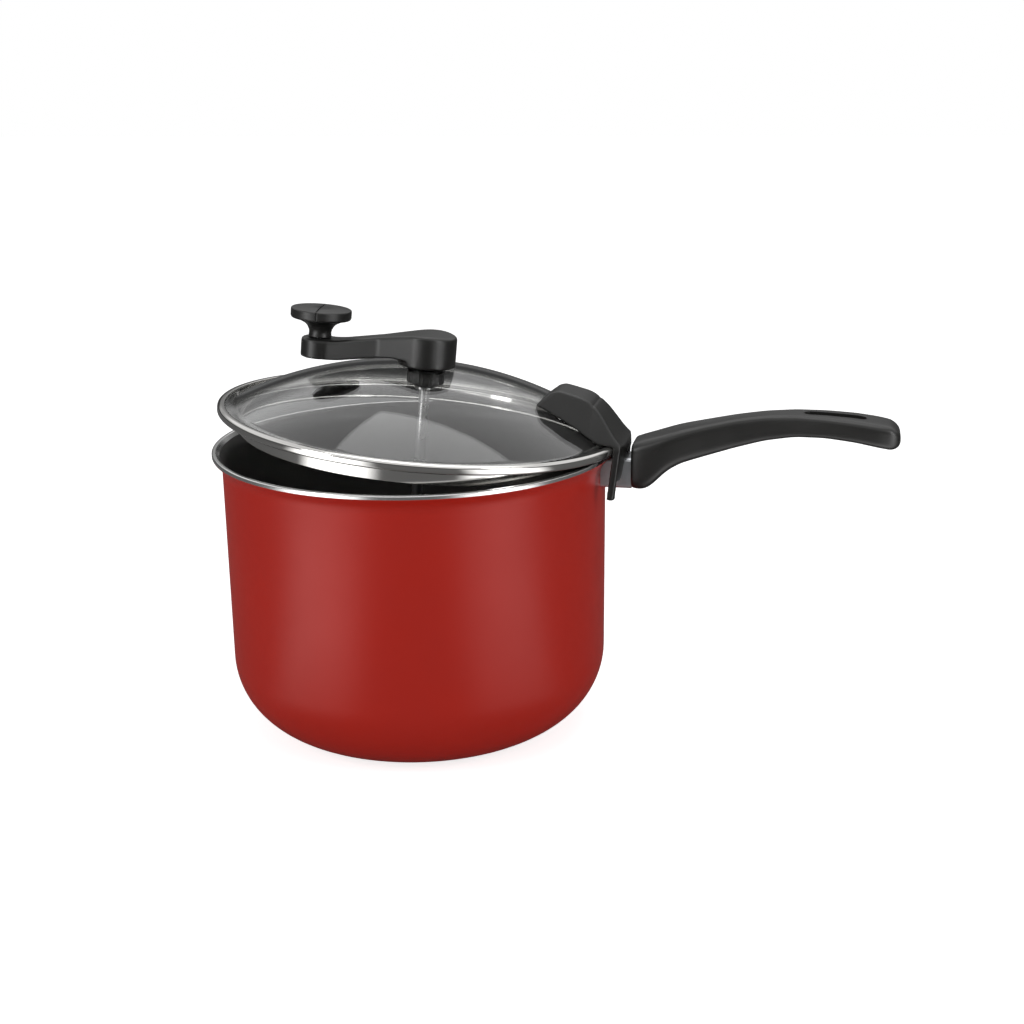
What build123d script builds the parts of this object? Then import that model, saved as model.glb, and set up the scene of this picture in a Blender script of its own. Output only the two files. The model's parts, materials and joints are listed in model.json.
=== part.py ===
from build123d import *
import math
import os

os.makedirs("parts", exist_ok=True)

# Stovetop popcorn popper: a deep pan with a long handle, and a glass lid that carries a crank.
# Frame: origin at the centre of the pan's base, +Z up, +X along the handle, millimetres.
# The lid and all that it carries are drawn level, with z = 0 at the underside of the lid's
# steel rim, and are then placed on the pan by LID_POSE.

# ---- clearances ----
FIT_GAP = 0.05          # running and press fits of round parts
SEAT_GAP = 0.1          # pieces of one body that lie against each other
BODY_GAP = 0.4          # between pieces that move past each other
PAST = 1.0              # how far a cut runs past the face that it opens

# ---- pan ----
PAN_R = 109.15          # outside radius of the straight wall
PAN_HEIGHT = 165.6
PAN_WALL = 2.3
PAN_FLOOR = 3.0
PAN_DRAFT = 0.4         # how much narrower the wall is at its foot
PAN_CORNER_R = 44.0     # outside radius between wall and base
RIM_OVERHANG = 5.35     # flared rim beyond the wall
RIM_EDGE = 2.4          # height of the bare edge of the rim
RIM_EDGE_R = 0.7        # broken corner on top of the rim
RIM_FLARE = 5.7         # height over which the wall flares out
RIM_BEND_R = 10.0

# ---- bracket and rivets ----
BRACKET_DROP = 2.8      # below the top of the rim
BRACKET_HEIGHT = 17.2
BRACKET_WIDTH = 19.0
BRACKET_EDGE_R = 2.2
BRACKET_REACH = 16.85   # from the wall to the grip
TONGUE_LENGTH = 14.0
TONGUE_WIDTH = 11.0
TONGUE_HEIGHT = 8.0
TONGUE_RISE = 3.0       # middle of the tongue above the middle of the bracket
TONGUE_EDGE_R = 1.0
RIVET_R = 2.5
RIVET_LIP = 1.8         # head beyond the shank
RIVET_HEAD = 1.8
RIVET_DEPTH = 7.0       # into the bracket
RIVET_MARGIN = 4.5      # from the bracket's side to the rivet's axis
RIVET_DROP = 2.5        # below the middle of the bracket, clear of the lid's skirt

# ---- handle: stations with the distance from the grip's root, the underside and the top
# above the top of the bracket, half the width, and how far the top is dished ----
GRIP_STATIONS = [
    (0.0, -16.2, 8.3, 13.2, 0.1),
    (2.2, -17.4, 9.8, 14.5, 0.1),
    (8.4, -17.1, 11.7, 14.8, 0.2),
    (13.6, -12.4, 13.5, 14.7, 0.5),
    (18.9, -6.4, 15.5, 14.3, 0.9),
    (26.9, -1.6, 18.1, 13.2, 1.2),
    (39.9, 2.6, 21.2, 11.2, 1.2),
    (55.9, 7.8, 24.6, 9.8, 0.9),
    (71.9, 12.5, 26.9, 9.7, 0.5),
    (87.9, 15.4, 27.9, 10.9, 0.2),
    (103.9, 15.7, 27.6, 12.6, 0.1),
    (119.9, 14.1, 26.5, 14.0, 0.1),
    (132.9, 11.6, 24.8, 14.3, 0.1),
    (139.4, 10.6, 23.4, 13.2, 0.1),
    (143.4, 13.2, 20.6, 10.0, 0.1),
]
GRIP_TOP_R = 3.2
GRIP_UNDER_R = 4.6
SLOT_SETBACK = 108.9    # middle of the hanging slot, from the grip's root
SLOT_LENGTH = 33.0
SLOT_WIDTH = 7.6
SCREW_SETBACK = 6.0     # handle screw, from the grip's root
SCREW_R = 2.0
SCREW_LIP = 1.9
SCREW_HEAD = 2.4
SCREW_HEAD_R = SCREW_R + SCREW_LIP
SCREW_SHOULDER = 3.0    # grip left between the tongue and the screw's head
CROSS_WIDTH = 0.9       # arms of a cross recess
CROSS_LENGTH = 4.4
CROSS_DEPTH = 1.6

# ---- lid glass and rim ----
GLASS = 3.4
GLASS_SIDE_GAP = 1.6    # between the edge of the glass and the band around it
GLASS_SEAT = 0.9        # underside of the glass above the underside of the rim
GLASS_EDGE = 1.0        # rounding of the edge of the glass
DOME_MARGIN = 3.4       # from the band's lip to where the dome starts
DOME_RISE = 28.2
BAND_OVERHANG = 0.7     # rolled band beyond the pan's rim
BAND_BULGE = 1.7
BAND_LIP = 2.5          # how far the band's upper lip reaches over the glass
SHEET = 0.8             # sheet steel of the rim
SKIRT_GAP = 3.65        # from the skirt to the inside of the pan
SKIRT_DEPTH = 8.65
SKIRT_HEM_R = 0.9

# ---- lid placed on the pan: tipped towards the handle, its far side held up ----
LID_TILT = 5.75
LID_TILT_AZIMUTH = 15.0
LID_SHIFT = 4.6
LID_REST_GAP = 0.3      # over the pan's rim on the low side

# ---- hub of the lid ----
SHAFT_R = 3.0
BUSH_WALL = 2.4
BUSH_FLANGE = 2.8
FLANGE_GAP = 1.7        # from the bush's flange to the inside of the crank's hub
HOLE_GAP = 0.3          # from the bush to the edge of the hole in the glass
GASKET = 1.0
GASKET_INSET = 1.0
NUT_WALL = 5.1
NUT_HEIGHT = 6.8
NUT_FLUTES = 12
NUT_FLUTE_R = 1.1
BUSH_TAIL = 1.6         # bush below the nut
WASHER = 0.8
WASHER_LIP = 0.6        # washer beyond the bush
CIRCLIP = 0.8
CIRCLIP_LIP = 2.2       # spring clip beyond the shaft
CIRCLIP_GAP_ANGLE = 60.0
GROOVE_DEPTH = 0.6

# ---- crank ----
CRANK_RADIUS = 63.5
HUB_R = 16.3
HUB_WALL = 2.6
HUB_HEIGHT = 19.0
HUB_GAP = 0.9           # under the hub's edge, above the glass
HUB_SLOPE = 3.2         # fall of the hub's top at the root of the arm
ARM_END_R = 10.5
ARM_END_HEIGHT = 11.2
ARM_DROP = 10.7         # top of the hub above the top of the arm's end
ARM_UNDER_RISE = 3.2    # root of the arm above the foot of the hub
ARM_NECK_HALF = 8.3
ARM_FLARE = 0.6         # how much wider the arm is at the knob
ARM_EDGE_R = 1.8
ARM_NECK_R = 7.0
INSERT_WALL = 2.5
INSERT_RISE = 1.2       # insert above the hub's hollow
INSERT_ROOF = 2.9       # hub left above the insert
INSERT_WAIST = 2.0
SPIGOT_STEP = 0.5       # shaft's threaded end, thinner than the shaft

# ---- knob ----
KNOB_R = 17.25
KNOB_DISC = 4.6
KNOB_HEIGHT = 16.8
KNOB_NECK_R = 6.2
KNOB_PIN_R = 2.5
KNOB_PIN_LIP = 2.1
KNOB_PIN_HEAD = 1.6
KNOB_BORE_DEPTH = 12.5
KNOB_PIN_SHORT = 1.0    # pin ends below the end of the knob's bore
KNOB_CLIP = 0.8
KNOB_CLIP_LIP = 1.1
KNOB_GROOVE = 0.6
KNOB_LINE_ANGLE = 87.0  # parting line across the knob's top

# ---- stirrer ----
STIR_CLEARANCE = 3.0    # above the pan's floor with the lid shut
STIR_TURN = 90.0        # wires ahead of the crank's arm
STIR_HUB_R = 8.0
STIR_HUB_HEIGHT = 13.0
STIR_HUB_FLOOR = 2.0    # hub below the end of the shaft
STIR_WIRE_R = 1.5
STIR_WIRE_RISE = 4.5    # wires above the foot of the hub where they leave it
STIR_GAPS = (24.85, 46.85)  # from the pan's wall to the tip of the long and the short wire
STIR_TIP_RISE = 9.0
STIR_BEND_R = 8.0
STIR_SWEEP = 16.0       # how far the wires curve to one side
SET_SCREW_R = 2.0

# ---- hood on the lid, forked over the bracket ----
HOOD_WALL = 3.0
HOOD_LENGTH = 56.0
HOOD_NOSE_OUT = 4.3     # beyond the band
HOOD_TOP_DROP = 1.4     # below the top of the glass dome
HOOD_FALL = 4.0         # slope of the top from the tip to the brow
HOOD_TIP_RUN = 13.5     # from the tip to the highest point, past the sweep of the crank
HOOD_BROW = 20.9        # from the nose back to the brow
HOOD_TIP_HALF = 6.4
HOOD_TOP_HALF = 12.2
HOOD_BASE_HALF = 22.5
HOOD_FOOT_HALF = 25.0
HOOD_CREASE_BACK = 3.1  # from the nose back to the crease between front and side
HOOD_NOSE_HALF = 9.2
HOOD_EDGE_R = 1.6
FORK_CLEARANCE = 2.1    # each side of the bracket
FORK_FOOT_Z = -24.0
FORK_TAB_Z = -14.0
PRONG_HALF_GAP = 21.0
NOTCH_TOP_Z = 0.2
CLIP_SCREW_SETBACK = 18.5  # from the tip of the hood
CLIP_SCREW_R = 2.0
CLIP_SCREW_LIP = 2.0
CLIP_HEAD = 2.2
CLIP_BOSS_WALL = 2.6
CLIP_BOSS_HEIGHT = 7.0
CLIP_WASHER_LIP = 4.5

# ---- worked out from the sizes above: pan, bracket and grip ----
INNER_R = PAN_R - PAN_WALL
RIM_R = PAN_R + RIM_OVERHANG
BRACKET_TOP = PAN_HEIGHT - BRACKET_DROP
BRACKET_MIDDLE = BRACKET_TOP - BRACKET_HEIGHT / 2
BRACKET_END_X = PAN_R + BRACKET_REACH
RIVET_HEAD_R = RIVET_R + RIVET_LIP
RIVET_Y = BRACKET_WIDTH / 2 - RIVET_MARGIN
RIVET_Z = BRACKET_MIDDLE - RIVET_DROP
TONGUE_Z = BRACKET_MIDDLE + TONGUE_RISE
GRIP_ROOT_X = BRACKET_END_X + SEAT_GAP
SLOT_CENTRE_X = GRIP_ROOT_X + SLOT_SETBACK
SCREW_X = GRIP_ROOT_X + SCREW_SETBACK
SCREW_SEAT_Z = TONGUE_Z - TONGUE_HEIGHT / 2 - SCREW_SHOULDER

# ---- lid ----
BAND_R = RIM_R + BAND_OVERHANG
BAND_FOOT_R = BAND_R - BAND_BULGE
BAND_LIP_R = BAND_FOOT_R - BAND_LIP
GLASS_R = BAND_R - SHEET - GLASS_SIDE_GAP
GLASS_TOP = GLASS_SEAT + GLASS
BAND_TOP = GLASS_TOP + SEAT_GAP + SHEET
SKIRT_R = INNER_R - SKIRT_GAP
DOME_R = BAND_LIP_R - DOME_MARGIN
DOME_OUT_R = (DOME_R**2 + DOME_RISE**2) / (2 * DOME_RISE)
DOME_IN_R = DOME_OUT_R - GLASS
APEX_TOP = GLASS_TOP + DOME_RISE
APEX_UNDER = APEX_TOP - GLASS
DOME_CENTRE_Z = APEX_TOP - DOME_OUT_R

# ---- hub: bush, nut, washers and clip on the shaft ----
BUSH_R = SHAFT_R + BUSH_WALL
BUSH_FLANGE_R = HUB_R - HUB_WALL - FLANGE_GAP
GLASS_HOLE_R = BUSH_R + HOLE_GAP
GASKET_R = BUSH_FLANGE_R - GASKET_INSET
NUT_R = BUSH_R + NUT_WALL
WASHER_R = BUSH_R + WASHER_LIP
CIRCLIP_R = SHAFT_R + CIRCLIP_LIP
FLANGE_Z = APEX_TOP + GASKET
FLANGE_TOP_Z = FLANGE_Z + BUSH_FLANGE
NUT_TOP_Z = APEX_UNDER - GASKET
NUT_FOOT_Z = NUT_TOP_Z - NUT_HEIGHT
BUSH_FOOT_Z = NUT_FOOT_Z - BUSH_TAIL
WASHER_TOP_Z = BUSH_FOOT_Z - SEAT_GAP
CIRCLIP_TOP_Z = WASHER_TOP_Z - WASHER - SEAT_GAP

# ---- crank and knob ----
HUB_FOOT_Z = APEX_TOP - HUB_R**2 / (2 * DOME_OUT_R) + HUB_GAP
HUB_TOP_Z = HUB_FOOT_Z + HUB_HEIGHT
HUB_HOLLOW_Z = FLANGE_TOP_Z + SEAT_GAP
ARM_TOP_Z = HUB_TOP_Z - ARM_DROP
ARM_FOOT_Z = ARM_TOP_Z - ARM_END_HEIGHT
ARM_UNDER_Z = HUB_FOOT_Z + ARM_UNDER_RISE
SPIGOT_R = SHAFT_R - SPIGOT_STEP
INSERT_R = SPIGOT_R + INSERT_WALL
INSERT_Z = HUB_HOLLOW_Z + INSERT_RISE
INSERT_TOP_Z = HUB_TOP_Z - INSERT_ROOF
KNOB_PIN_HEAD_R = KNOB_PIN_R + KNOB_PIN_LIP
KNOB_FOOT_Z = ARM_TOP_Z + BODY_GAP
KNOB_BORE_Z = KNOB_FOOT_Z + KNOB_BORE_DEPTH
KNOB_PIN_TOP_Z = KNOB_BORE_Z - KNOB_PIN_SHORT

# ---- stirrer, hanging over the pan's floor ----
STIR_FOOT_Z = PAN_FLOOR - PAN_HEIGHT + STIR_CLEARANCE
STIR_HUB_TOP_Z = STIR_FOOT_Z + STIR_HUB_HEIGHT
SHAFT_FOOT_Z = STIR_FOOT_Z + STIR_HUB_FLOOR
STIR_SIDES = ((-1, INNER_R - STIR_GAPS[0]), (1, INNER_R - STIR_GAPS[1]))

# ---- hood ----
HOOD_NOSE_X = BAND_R + HOOD_NOSE_OUT
HOOD_TIP_X = HOOD_NOSE_X - HOOD_LENGTH
HOOD_TOP_Z = APEX_TOP - HOOD_TOP_DROP
FORK_HALF_GAP = BRACKET_WIDTH / 2 + FORK_CLEARANCE
CLIP_SCREW_X = HOOD_TIP_X + CLIP_SCREW_SETBACK
CLIP_BOSS_R = CLIP_SCREW_R + CLIP_BOSS_WALL
CLIP_HEAD_R = CLIP_SCREW_R + CLIP_SCREW_LIP
CLIP_WASHER_R = CLIP_SCREW_R + CLIP_WASHER_LIP

# The lid leans on the rim on its low side, so its height follows from its tilt.
LID_SIN = math.sin(math.radians(LID_TILT))
LID_COS = math.cos(math.radians(LID_TILT))
LID_RISE = (RIM_R - RIM_EDGE_R - LID_SHIFT) / LID_COS * LID_SIN + LID_REST_GAP
LID_POSE = (
    Pos(
        LID_SHIFT * math.cos(math.radians(LID_TILT_AZIMUTH)),
        LID_SHIFT * math.sin(math.radians(LID_TILT_AZIMUTH)),
        PAN_HEIGHT + LID_RISE,
    )
    * Rot(0, 0, LID_TILT_AZIMUTH)
    * Rot(0, LID_TILT, 0)
    * Rot(0, 0, -LID_TILT_AZIMUTH)
)


def turned(points, radii):
    """Revolve an outline of (radius, height) points about Z, with a corner radius for each."""
    outline = FilletPolyline(*[(r, 0, z) for r, z in points], radius=radii, close=True)
    return revolve(make_face(outline), Axis.Z)


def rod(radius, low, high, x=0.0, y=0.0):
    """Upright cylinder from low to high."""
    return Pos(x, y, (low + high) / 2) * Cylinder(radius, high - low)


def tube(outer, inner, low, high, x=0.0, y=0.0):
    """Upright ring from low to high."""
    return rod(outer, low, high, x, y) - rod(inner, low - PAST, high + PAST, x, y)


def along_x(piece, x=0.0, y=0.0, z=0.0):
    """Lay an upright piece along +X and place its foot."""
    return Pos(x, y, z) * Rot(0, 90, 0) * piece


def block(x_low, x_high, half_width, z_low, z_high):
    """Box that is centred on y = 0."""
    centre = Pos((x_low + x_high) / 2, 0, (z_low + z_high) / 2)
    return centre * Box(x_high - x_low, 2 * half_width, z_high - z_low)


def side_prism(points, radii, half_width):
    """Outline of (x, z) points pushed out to both sides of y = 0."""
    outline = FilletPolyline(*[(x, 0, z) for x, z in points], radius=radii, close=True)
    return extrude(make_face(outline), amount=half_width, dir=(0, 1, 0), both=True)


def plan_prism(points, radii, z_low, z_high):
    """Outline of (x, y) points pushed up from z_low to z_high."""
    outline = FilletPolyline(*[(x, y, z_low) for x, y in points], radius=radii, close=True)
    return extrude(make_face(outline), amount=z_high - z_low, dir=(0, 0, 1))


def cross_recess(z):
    """Cross cut in a screw's head, to both sides of z."""
    arm = Box(CROSS_LENGTH, CROSS_WIDTH, 2 * CROSS_DEPTH)
    return Pos(0, 0, z) * (arm + Rot(0, 0, 90) * arm)


def pan_head(radius, low, high):
    """Screw head with a rounded lower edge."""
    height = high - low
    return turned([(0, low), (radius, low), (radius, high), (0, high)], [0, height / 2, 0, 0])


def dome_z(radius, sphere_r):
    """Height of the dome's sphere at a distance from its axis."""
    return DOME_CENTRE_Z + math.sqrt(sphere_r**2 - radius**2)


def dome_ball(sphere_r):
    """Ball that the dome of the glass is part of."""
    return Pos(0, 0, DOME_CENTRE_Z) * Sphere(sphere_r)


# ---------------------------------------------------------------- pan
def pan_outline():
    """Outside of the pan from the base to the bare edge of the rim."""
    edge_foot = PAN_HEIGHT - RIM_EDGE
    return [
        (0, 0),
        (PAN_R - PAN_DRAFT, 0),
        (PAN_R, edge_foot - RIM_FLARE),
        (RIM_R, edge_foot),
        (RIM_R, PAN_HEIGHT - RIM_EDGE_R),
        (RIM_R - RIM_EDGE_R, PAN_HEIGHT),
    ]


def rivet_hole(y):
    """Hole for a rivet through the wall and into the bracket."""
    hole = rod(RIVET_R + FIT_GAP, -PAN_WALL - PAST, RIVET_DEPTH)
    return along_x(hole, PAN_R, y, RIVET_Z)


def pan_body():
    """Pressed pan with a round corner, a straight wall and a flared rim."""
    inner_rim = RIM_R - PAN_WALL
    inside = [
        (inner_rim, PAN_HEIGHT),
        (INNER_R, PAN_HEIGHT - RIM_FLARE),
        (INNER_R - PAN_DRAFT, PAN_FLOOR),
        (0, PAN_FLOOR),
    ]
    radii = [0, PAN_CORNER_R, RIM_BEND_R, RIM_EDGE_R, 0, 0, RIM_EDGE_R]
    radii += [RIM_BEND_R + PAN_WALL, PAN_CORNER_R - PAN_WALL, 0]
    pan = turned(pan_outline() + inside, radii)
    for y in (-RIVET_Y, RIVET_Y):
        pan -= rivet_hole(y)
    return pan


def pan_envelope(gap):
    """The pan as a solid plug, grown by a gap, to cut what lies against it."""
    outline = [(r + (gap if r else 0), z) for r, z in pan_outline()] + [(0, PAN_HEIGHT)]
    return turned(outline, [0, PAN_CORNER_R, RIM_BEND_R, RIM_EDGE_R, 0, 0, 0])


def tongue_block(x_high, gap):
    """Tongue of the bracket, or with a gap the socket for it."""
    return block(
        BRACKET_END_X - PAST,
        x_high + gap,
        TONGUE_WIDTH / 2 + gap,
        TONGUE_Z - TONGUE_HEIGHT / 2 - gap,
        TONGUE_Z + TONGUE_HEIGHT / 2 + gap,
    )


def handle_bracket():
    """Cast bracket that is riveted to the wall, with a tongue inside the grip."""
    foot = BRACKET_TOP - BRACKET_HEIGHT
    body = block(INNER_R - PAN_WALL, BRACKET_END_X, BRACKET_WIDTH / 2, foot, BRACKET_TOP)
    body = fillet(body.edges().filter_by(Axis.X), BRACKET_EDGE_R)
    tongue = tongue_block(BRACKET_END_X + TONGUE_LENGTH, 0)
    tongue = fillet(tongue.edges().filter_by(Axis.X), TONGUE_EDGE_R)
    body = (body + tongue) - pan_envelope(SEAT_GAP)
    for y in (-RIVET_Y, RIVET_Y):
        body -= rivet_hole(y)
    screw_top = TONGUE_Z + TONGUE_HEIGHT / 2
    return body - rod(SCREW_R + FIT_GAP, screw_top - TONGUE_HEIGHT - PAST, screw_top + PAST, SCREW_X)


def bracket_rivet(y):
    """Rivet from the inside of the pan, with a domed head that bears on the curved wall."""
    reach = abs(y) + RIVET_HEAD_R
    seat_x = math.sqrt(INNER_R**2 - reach**2) - SEAT_GAP
    shank = along_x(rod(RIVET_R, -RIVET_HEAD / 2, PAN_R + RIVET_DEPTH - SEAT_GAP - seat_x), seat_x)
    head = along_x(pan_head(RIVET_HEAD_R, -RIVET_HEAD, 0), seat_x)
    return Pos(0, y, RIVET_Z) * (shank + head)


# ---------------------------------------------------------------- handle
def grip_section(distance, low, high, half, dip):
    """Section of the grip: flat or dished top, upright sides and a rounder underside."""
    x = GRIP_ROOT_X + distance
    top_r = min(GRIP_TOP_R, (high - low) * 0.3)
    under_r = min(GRIP_UNDER_R, (high - low) * 0.38)
    diagonal = math.sqrt(0.5)

    def corner(side, z, radius, up):
        """Start, middle and end of the rounded corner from the side to the top or underside."""
        centre_y = side * (half - radius)
        centre_z = BRACKET_TOP + z - up * radius
        return (
            (x, side * half, centre_z),
            (x, centre_y + side * radius * diagonal, centre_z + up * radius * diagonal),
            (x, centre_y, centre_z + up * radius),
        )

    near_top = corner(-1, high, top_r, 1)
    far_top = corner(1, high, top_r, 1)
    near_low = corner(-1, low, under_r, -1)
    far_low = corner(1, low, under_r, -1)
    edges = [
        ThreePointArc(near_top[2], (x, 0, BRACKET_TOP + high - dip), far_top[2]),
        ThreePointArc(far_top[2], far_top[1], far_top[0]),
        Line(far_top[0], far_low[0]),
        ThreePointArc(far_low[0], far_low[1], far_low[2]),
        Line(far_low[2], near_low[2]),
        ThreePointArc(near_low[2], near_low[1], near_low[0]),
        Line(near_low[0], near_top[0]),
        ThreePointArc(near_top[0], near_top[1], near_top[2]),
    ]
    return Face(Wire(edges))


def handle_grip():
    """Moulded grip with a socket for the tongue, a screw hole below and a hanging slot."""
    grip = loft([grip_section(*station) for station in GRIP_STATIONS])
    socket = tongue_block(BRACKET_END_X + TONGUE_LENGTH, SEAT_GAP)
    slot = extrude(SlotOverall(SLOT_LENGTH, SLOT_WIDTH), amount=2 * BRACKET_HEIGHT, both=True)
    slot = Pos(SLOT_CENTRE_X, 0, BRACKET_TOP) * slot
    screw_hole = rod(SCREW_R + SEAT_GAP, SCREW_SEAT_Z - PAST, TONGUE_Z, SCREW_X)
    recess = rod(SCREW_HEAD_R + BODY_GAP, SCREW_SEAT_Z - BRACKET_HEIGHT, SCREW_SEAT_Z, SCREW_X)
    return grip - socket - slot - screw_hole - recess


def handle_screw():
    """Pan-head screw that goes up through the grip into the tongue."""
    head_z = SCREW_SEAT_Z - SCREW_HEAD
    head = pan_head(SCREW_HEAD_R, head_z, SCREW_SEAT_Z)
    screw = head + rod(SCREW_R, head_z + SCREW_HEAD / 2, TONGUE_Z + TONGUE_HEIGHT / 2)
    return Pos(SCREW_X, 0, 0) * (screw - cross_recess(head_z))


# ---------------------------------------------------------------- lid
def clip_frame():
    """Place on the outside of the dome, square to the glass, where the hood is screwed on."""
    lean = math.degrees(math.asin(CLIP_SCREW_X / DOME_OUT_R))
    return Pos(CLIP_SCREW_X, 0, dome_z(CLIP_SCREW_X, DOME_OUT_R)) * Rot(0, lean, 0)


def lid_glass():
    """Domed glass with a flat edge, a hole for the hub and a hole for the hood's screw."""
    inner_r = math.sqrt(DOME_IN_R**2 - (GLASS_SEAT - DOME_CENTRE_Z) ** 2)
    mid_r = DOME_R / 2
    hole = GLASS_HOLE_R
    flat_r = GLASS_R - GLASS_EDGE
    edges = [
        Line((hole, 0, dome_z(hole, DOME_IN_R)), (hole, 0, dome_z(hole, DOME_OUT_R))),
        ThreePointArc(
            (hole, 0, dome_z(hole, DOME_OUT_R)),
            (mid_r, 0, dome_z(mid_r, DOME_OUT_R)),
            (DOME_R, 0, GLASS_TOP),
        ),
        Line((DOME_R, 0, GLASS_TOP), (flat_r, 0, GLASS_TOP)),
        ThreePointArc(
            (flat_r, 0, GLASS_TOP),
            (GLASS_R, 0, GLASS_SEAT + GLASS / 2),
            (flat_r, 0, GLASS_SEAT),
        ),
        Line((flat_r, 0, GLASS_SEAT), (inner_r, 0, GLASS_SEAT)),
        ThreePointArc(
            (inner_r, 0, GLASS_SEAT),
            (mid_r, 0, dome_z(mid_r, DOME_IN_R)),
            (hole, 0, dome_z(hole, DOME_IN_R)),
        ),
    ]
    glass = revolve(Face(Wire(edges)), Axis.Z)
    return glass - clip_frame() * rod(CLIP_SCREW_R + HOLE_GAP, -GLASS - PAST, GLASS + PAST)


def lid_rim():
    """Rolled steel band that grips the edge of the glass, with a skirt that centres the lid."""
    under_lip = BAND_TOP - SHEET
    middle = BAND_TOP / 2
    inner_foot = BAND_FOOT_R - SHEET / 2
    inner_skirt = SKIRT_R - SHEET
    edges = [
        Line((SKIRT_R, 0, -SKIRT_DEPTH), (SKIRT_R, 0, 0)),
        Line((SKIRT_R, 0, 0), (BAND_FOOT_R, 0, 0)),
        ThreePointArc((BAND_FOOT_R, 0, 0), (BAND_R, 0, middle), (BAND_FOOT_R, 0, BAND_TOP)),
        Line((BAND_FOOT_R, 0, BAND_TOP), (BAND_LIP_R, 0, BAND_TOP)),
        Line((BAND_LIP_R, 0, BAND_TOP), (BAND_LIP_R, 0, under_lip)),
        Line((BAND_LIP_R, 0, under_lip), (inner_foot, 0, under_lip)),
        ThreePointArc((inner_foot, 0, under_lip), (BAND_R - SHEET, 0, middle), (inner_foot, 0, SHEET)),
        Line((inner_foot, 0, SHEET), (inner_skirt, 0, SHEET)),
        Line((inner_skirt, 0, SHEET), (inner_skirt, 0, -SKIRT_DEPTH)),
        Line((inner_skirt, 0, -SKIRT_DEPTH), (SKIRT_R, 0, -SKIRT_DEPTH)),
    ]
    rim = revolve(Face(Wire(edges)), Axis.Z)
    hem_r = inner_skirt - SKIRT_HEM_R
    hem_top = 2 * SKIRT_HEM_R - SKIRT_DEPTH
    hem = turned(
        [
            (hem_r, -SKIRT_DEPTH),
            (SKIRT_R - SHEET / 2, -SKIRT_DEPTH),
            (SKIRT_R - SHEET / 2, hem_top),
            (hem_r, hem_top),
        ],
        [SHEET, 0, 0, SHEET],
    )
    return rim + hem


def hood_form(inset):
    """Outside of the hood, or with an inset its hollow: a side, a front and a plan outline."""
    tip = HOOD_TIP_X + inset
    nose = HOOD_NOSE_X - inset
    brow_x = HOOD_NOSE_X - HOOD_BROW - inset / 2
    round_r = 2 * HOOD_WALL - inset
    low = GLASS_TOP - HOOD_WALL
    side = side_prism(
        [
            (tip + HOOD_TIP_RUN, HOOD_TOP_Z - inset),
            (brow_x, HOOD_TOP_Z - HOOD_FALL - inset),
            (nose, GLASS_TOP / 2),
            (nose - 1.4, FORK_TAB_Z),
            (nose - 2.4, FORK_FOOT_Z),
            (INNER_R, FORK_FOOT_Z),
            (INNER_R, low),
            (tip, low),
            (tip, GLASS_TOP + DOME_RISE / 2),
        ],
        [round_r, round_r, HOOD_WALL, 0, 0, 0, 0, 0, HOOD_WALL / 2],
        HOOD_FOOT_HALF + PAST,
    )
    top = HOOD_TOP_HALF - inset
    base = HOOD_BASE_HALF - inset
    foot = HOOD_FOOT_HALF - inset
    front = FilletPolyline(
        (0, -top, APEX_TOP),
        (0, -base, GLASS_TOP),
        (0, -foot, FORK_FOOT_Z - PAST),
        (0, foot, FORK_FOOT_Z - PAST),
        (0, base, GLASS_TOP),
        (0, top, APEX_TOP),
        radius=[0, HOOD_BASE_HALF, 0, 0, HOOD_BASE_HALF, 0],
        close=True,
    )
    front = extrude(make_face(front), amount=HOOD_NOSE_X + PAST, dir=(1, 0, 0))
    crease = HOOD_NOSE_X - HOOD_CREASE_BACK - inset
    plan = plan_prism(
        [
            (tip, -HOOD_TIP_HALF),
            (tip + 2 * HOOD_WALL, -foot),
            (crease, -foot),
            (nose, -HOOD_NOSE_HALF),
            (nose, HOOD_NOSE_HALF),
            (crease, foot),
            (tip + 2 * HOOD_WALL, foot),
            (tip, HOOD_TIP_HALF),
        ],
        [HOOD_WALL, round_r, HOOD_WALL / 2, HOOD_WALL, HOOD_WALL, HOOD_WALL / 2, round_r, HOOD_WALL],
        FORK_FOOT_Z - PAST,
        APEX_TOP,
    )
    return side & front & plan


def lid_hood():
    """Hollow hood on the lid whose fork straddles the handle bracket and stops the lid turning."""
    outside = hood_form(0)
    ridges = outside.edges().filter_by(lambda e: abs(e.center().Y) > HOOD_TOP_HALF)
    ridges = ridges.filter_by(lambda e: e.center().X > HOOD_TIP_X + 2 * HOOD_WALL)
    ridges = ridges.filter_by(lambda e: e.center().Z > HOOD_TOP_Z / 2)
    outside = fillet(ridges, HOOD_EDGE_R)
    hood = outside - hood_form(HOOD_WALL)
    place = clip_frame()
    boss = place * rod(CLIP_BOSS_R, SEAT_GAP, CLIP_BOSS_HEIGHT + 2 * HOOD_WALL)
    hood += boss & hood_form(HOOD_WALL / 2)
    hood -= dome_ball(DOME_OUT_R + SEAT_GAP) & rod(BAND_R, FORK_FOOT_Z, APEX_TOP)
    band_r = BAND_R + SEAT_GAP
    band_z = BAND_TOP + SEAT_GAP
    hood -= turned([(0, 0), (band_r, 0), (band_r, band_z), (0, band_z)], [0, 0, BAND_BULGE, 0])
    hood -= rod(BAND_R + SEAT_GAP, FORK_FOOT_Z - PAST, SHEET)
    past_nose = HOOD_NOSE_X + PAST
    hood -= block(INNER_R, past_nose, FORK_HALF_GAP, FORK_FOOT_Z - PAST, NOTCH_TOP_Z)
    hood -= block(INNER_R, past_nose, PRONG_HALF_GAP, FORK_FOOT_Z - PAST, FORK_TAB_Z)
    return hood - place * rod(CLIP_SCREW_R + FIT_GAP, -PAST, CLIP_BOSS_HEIGHT)


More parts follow.
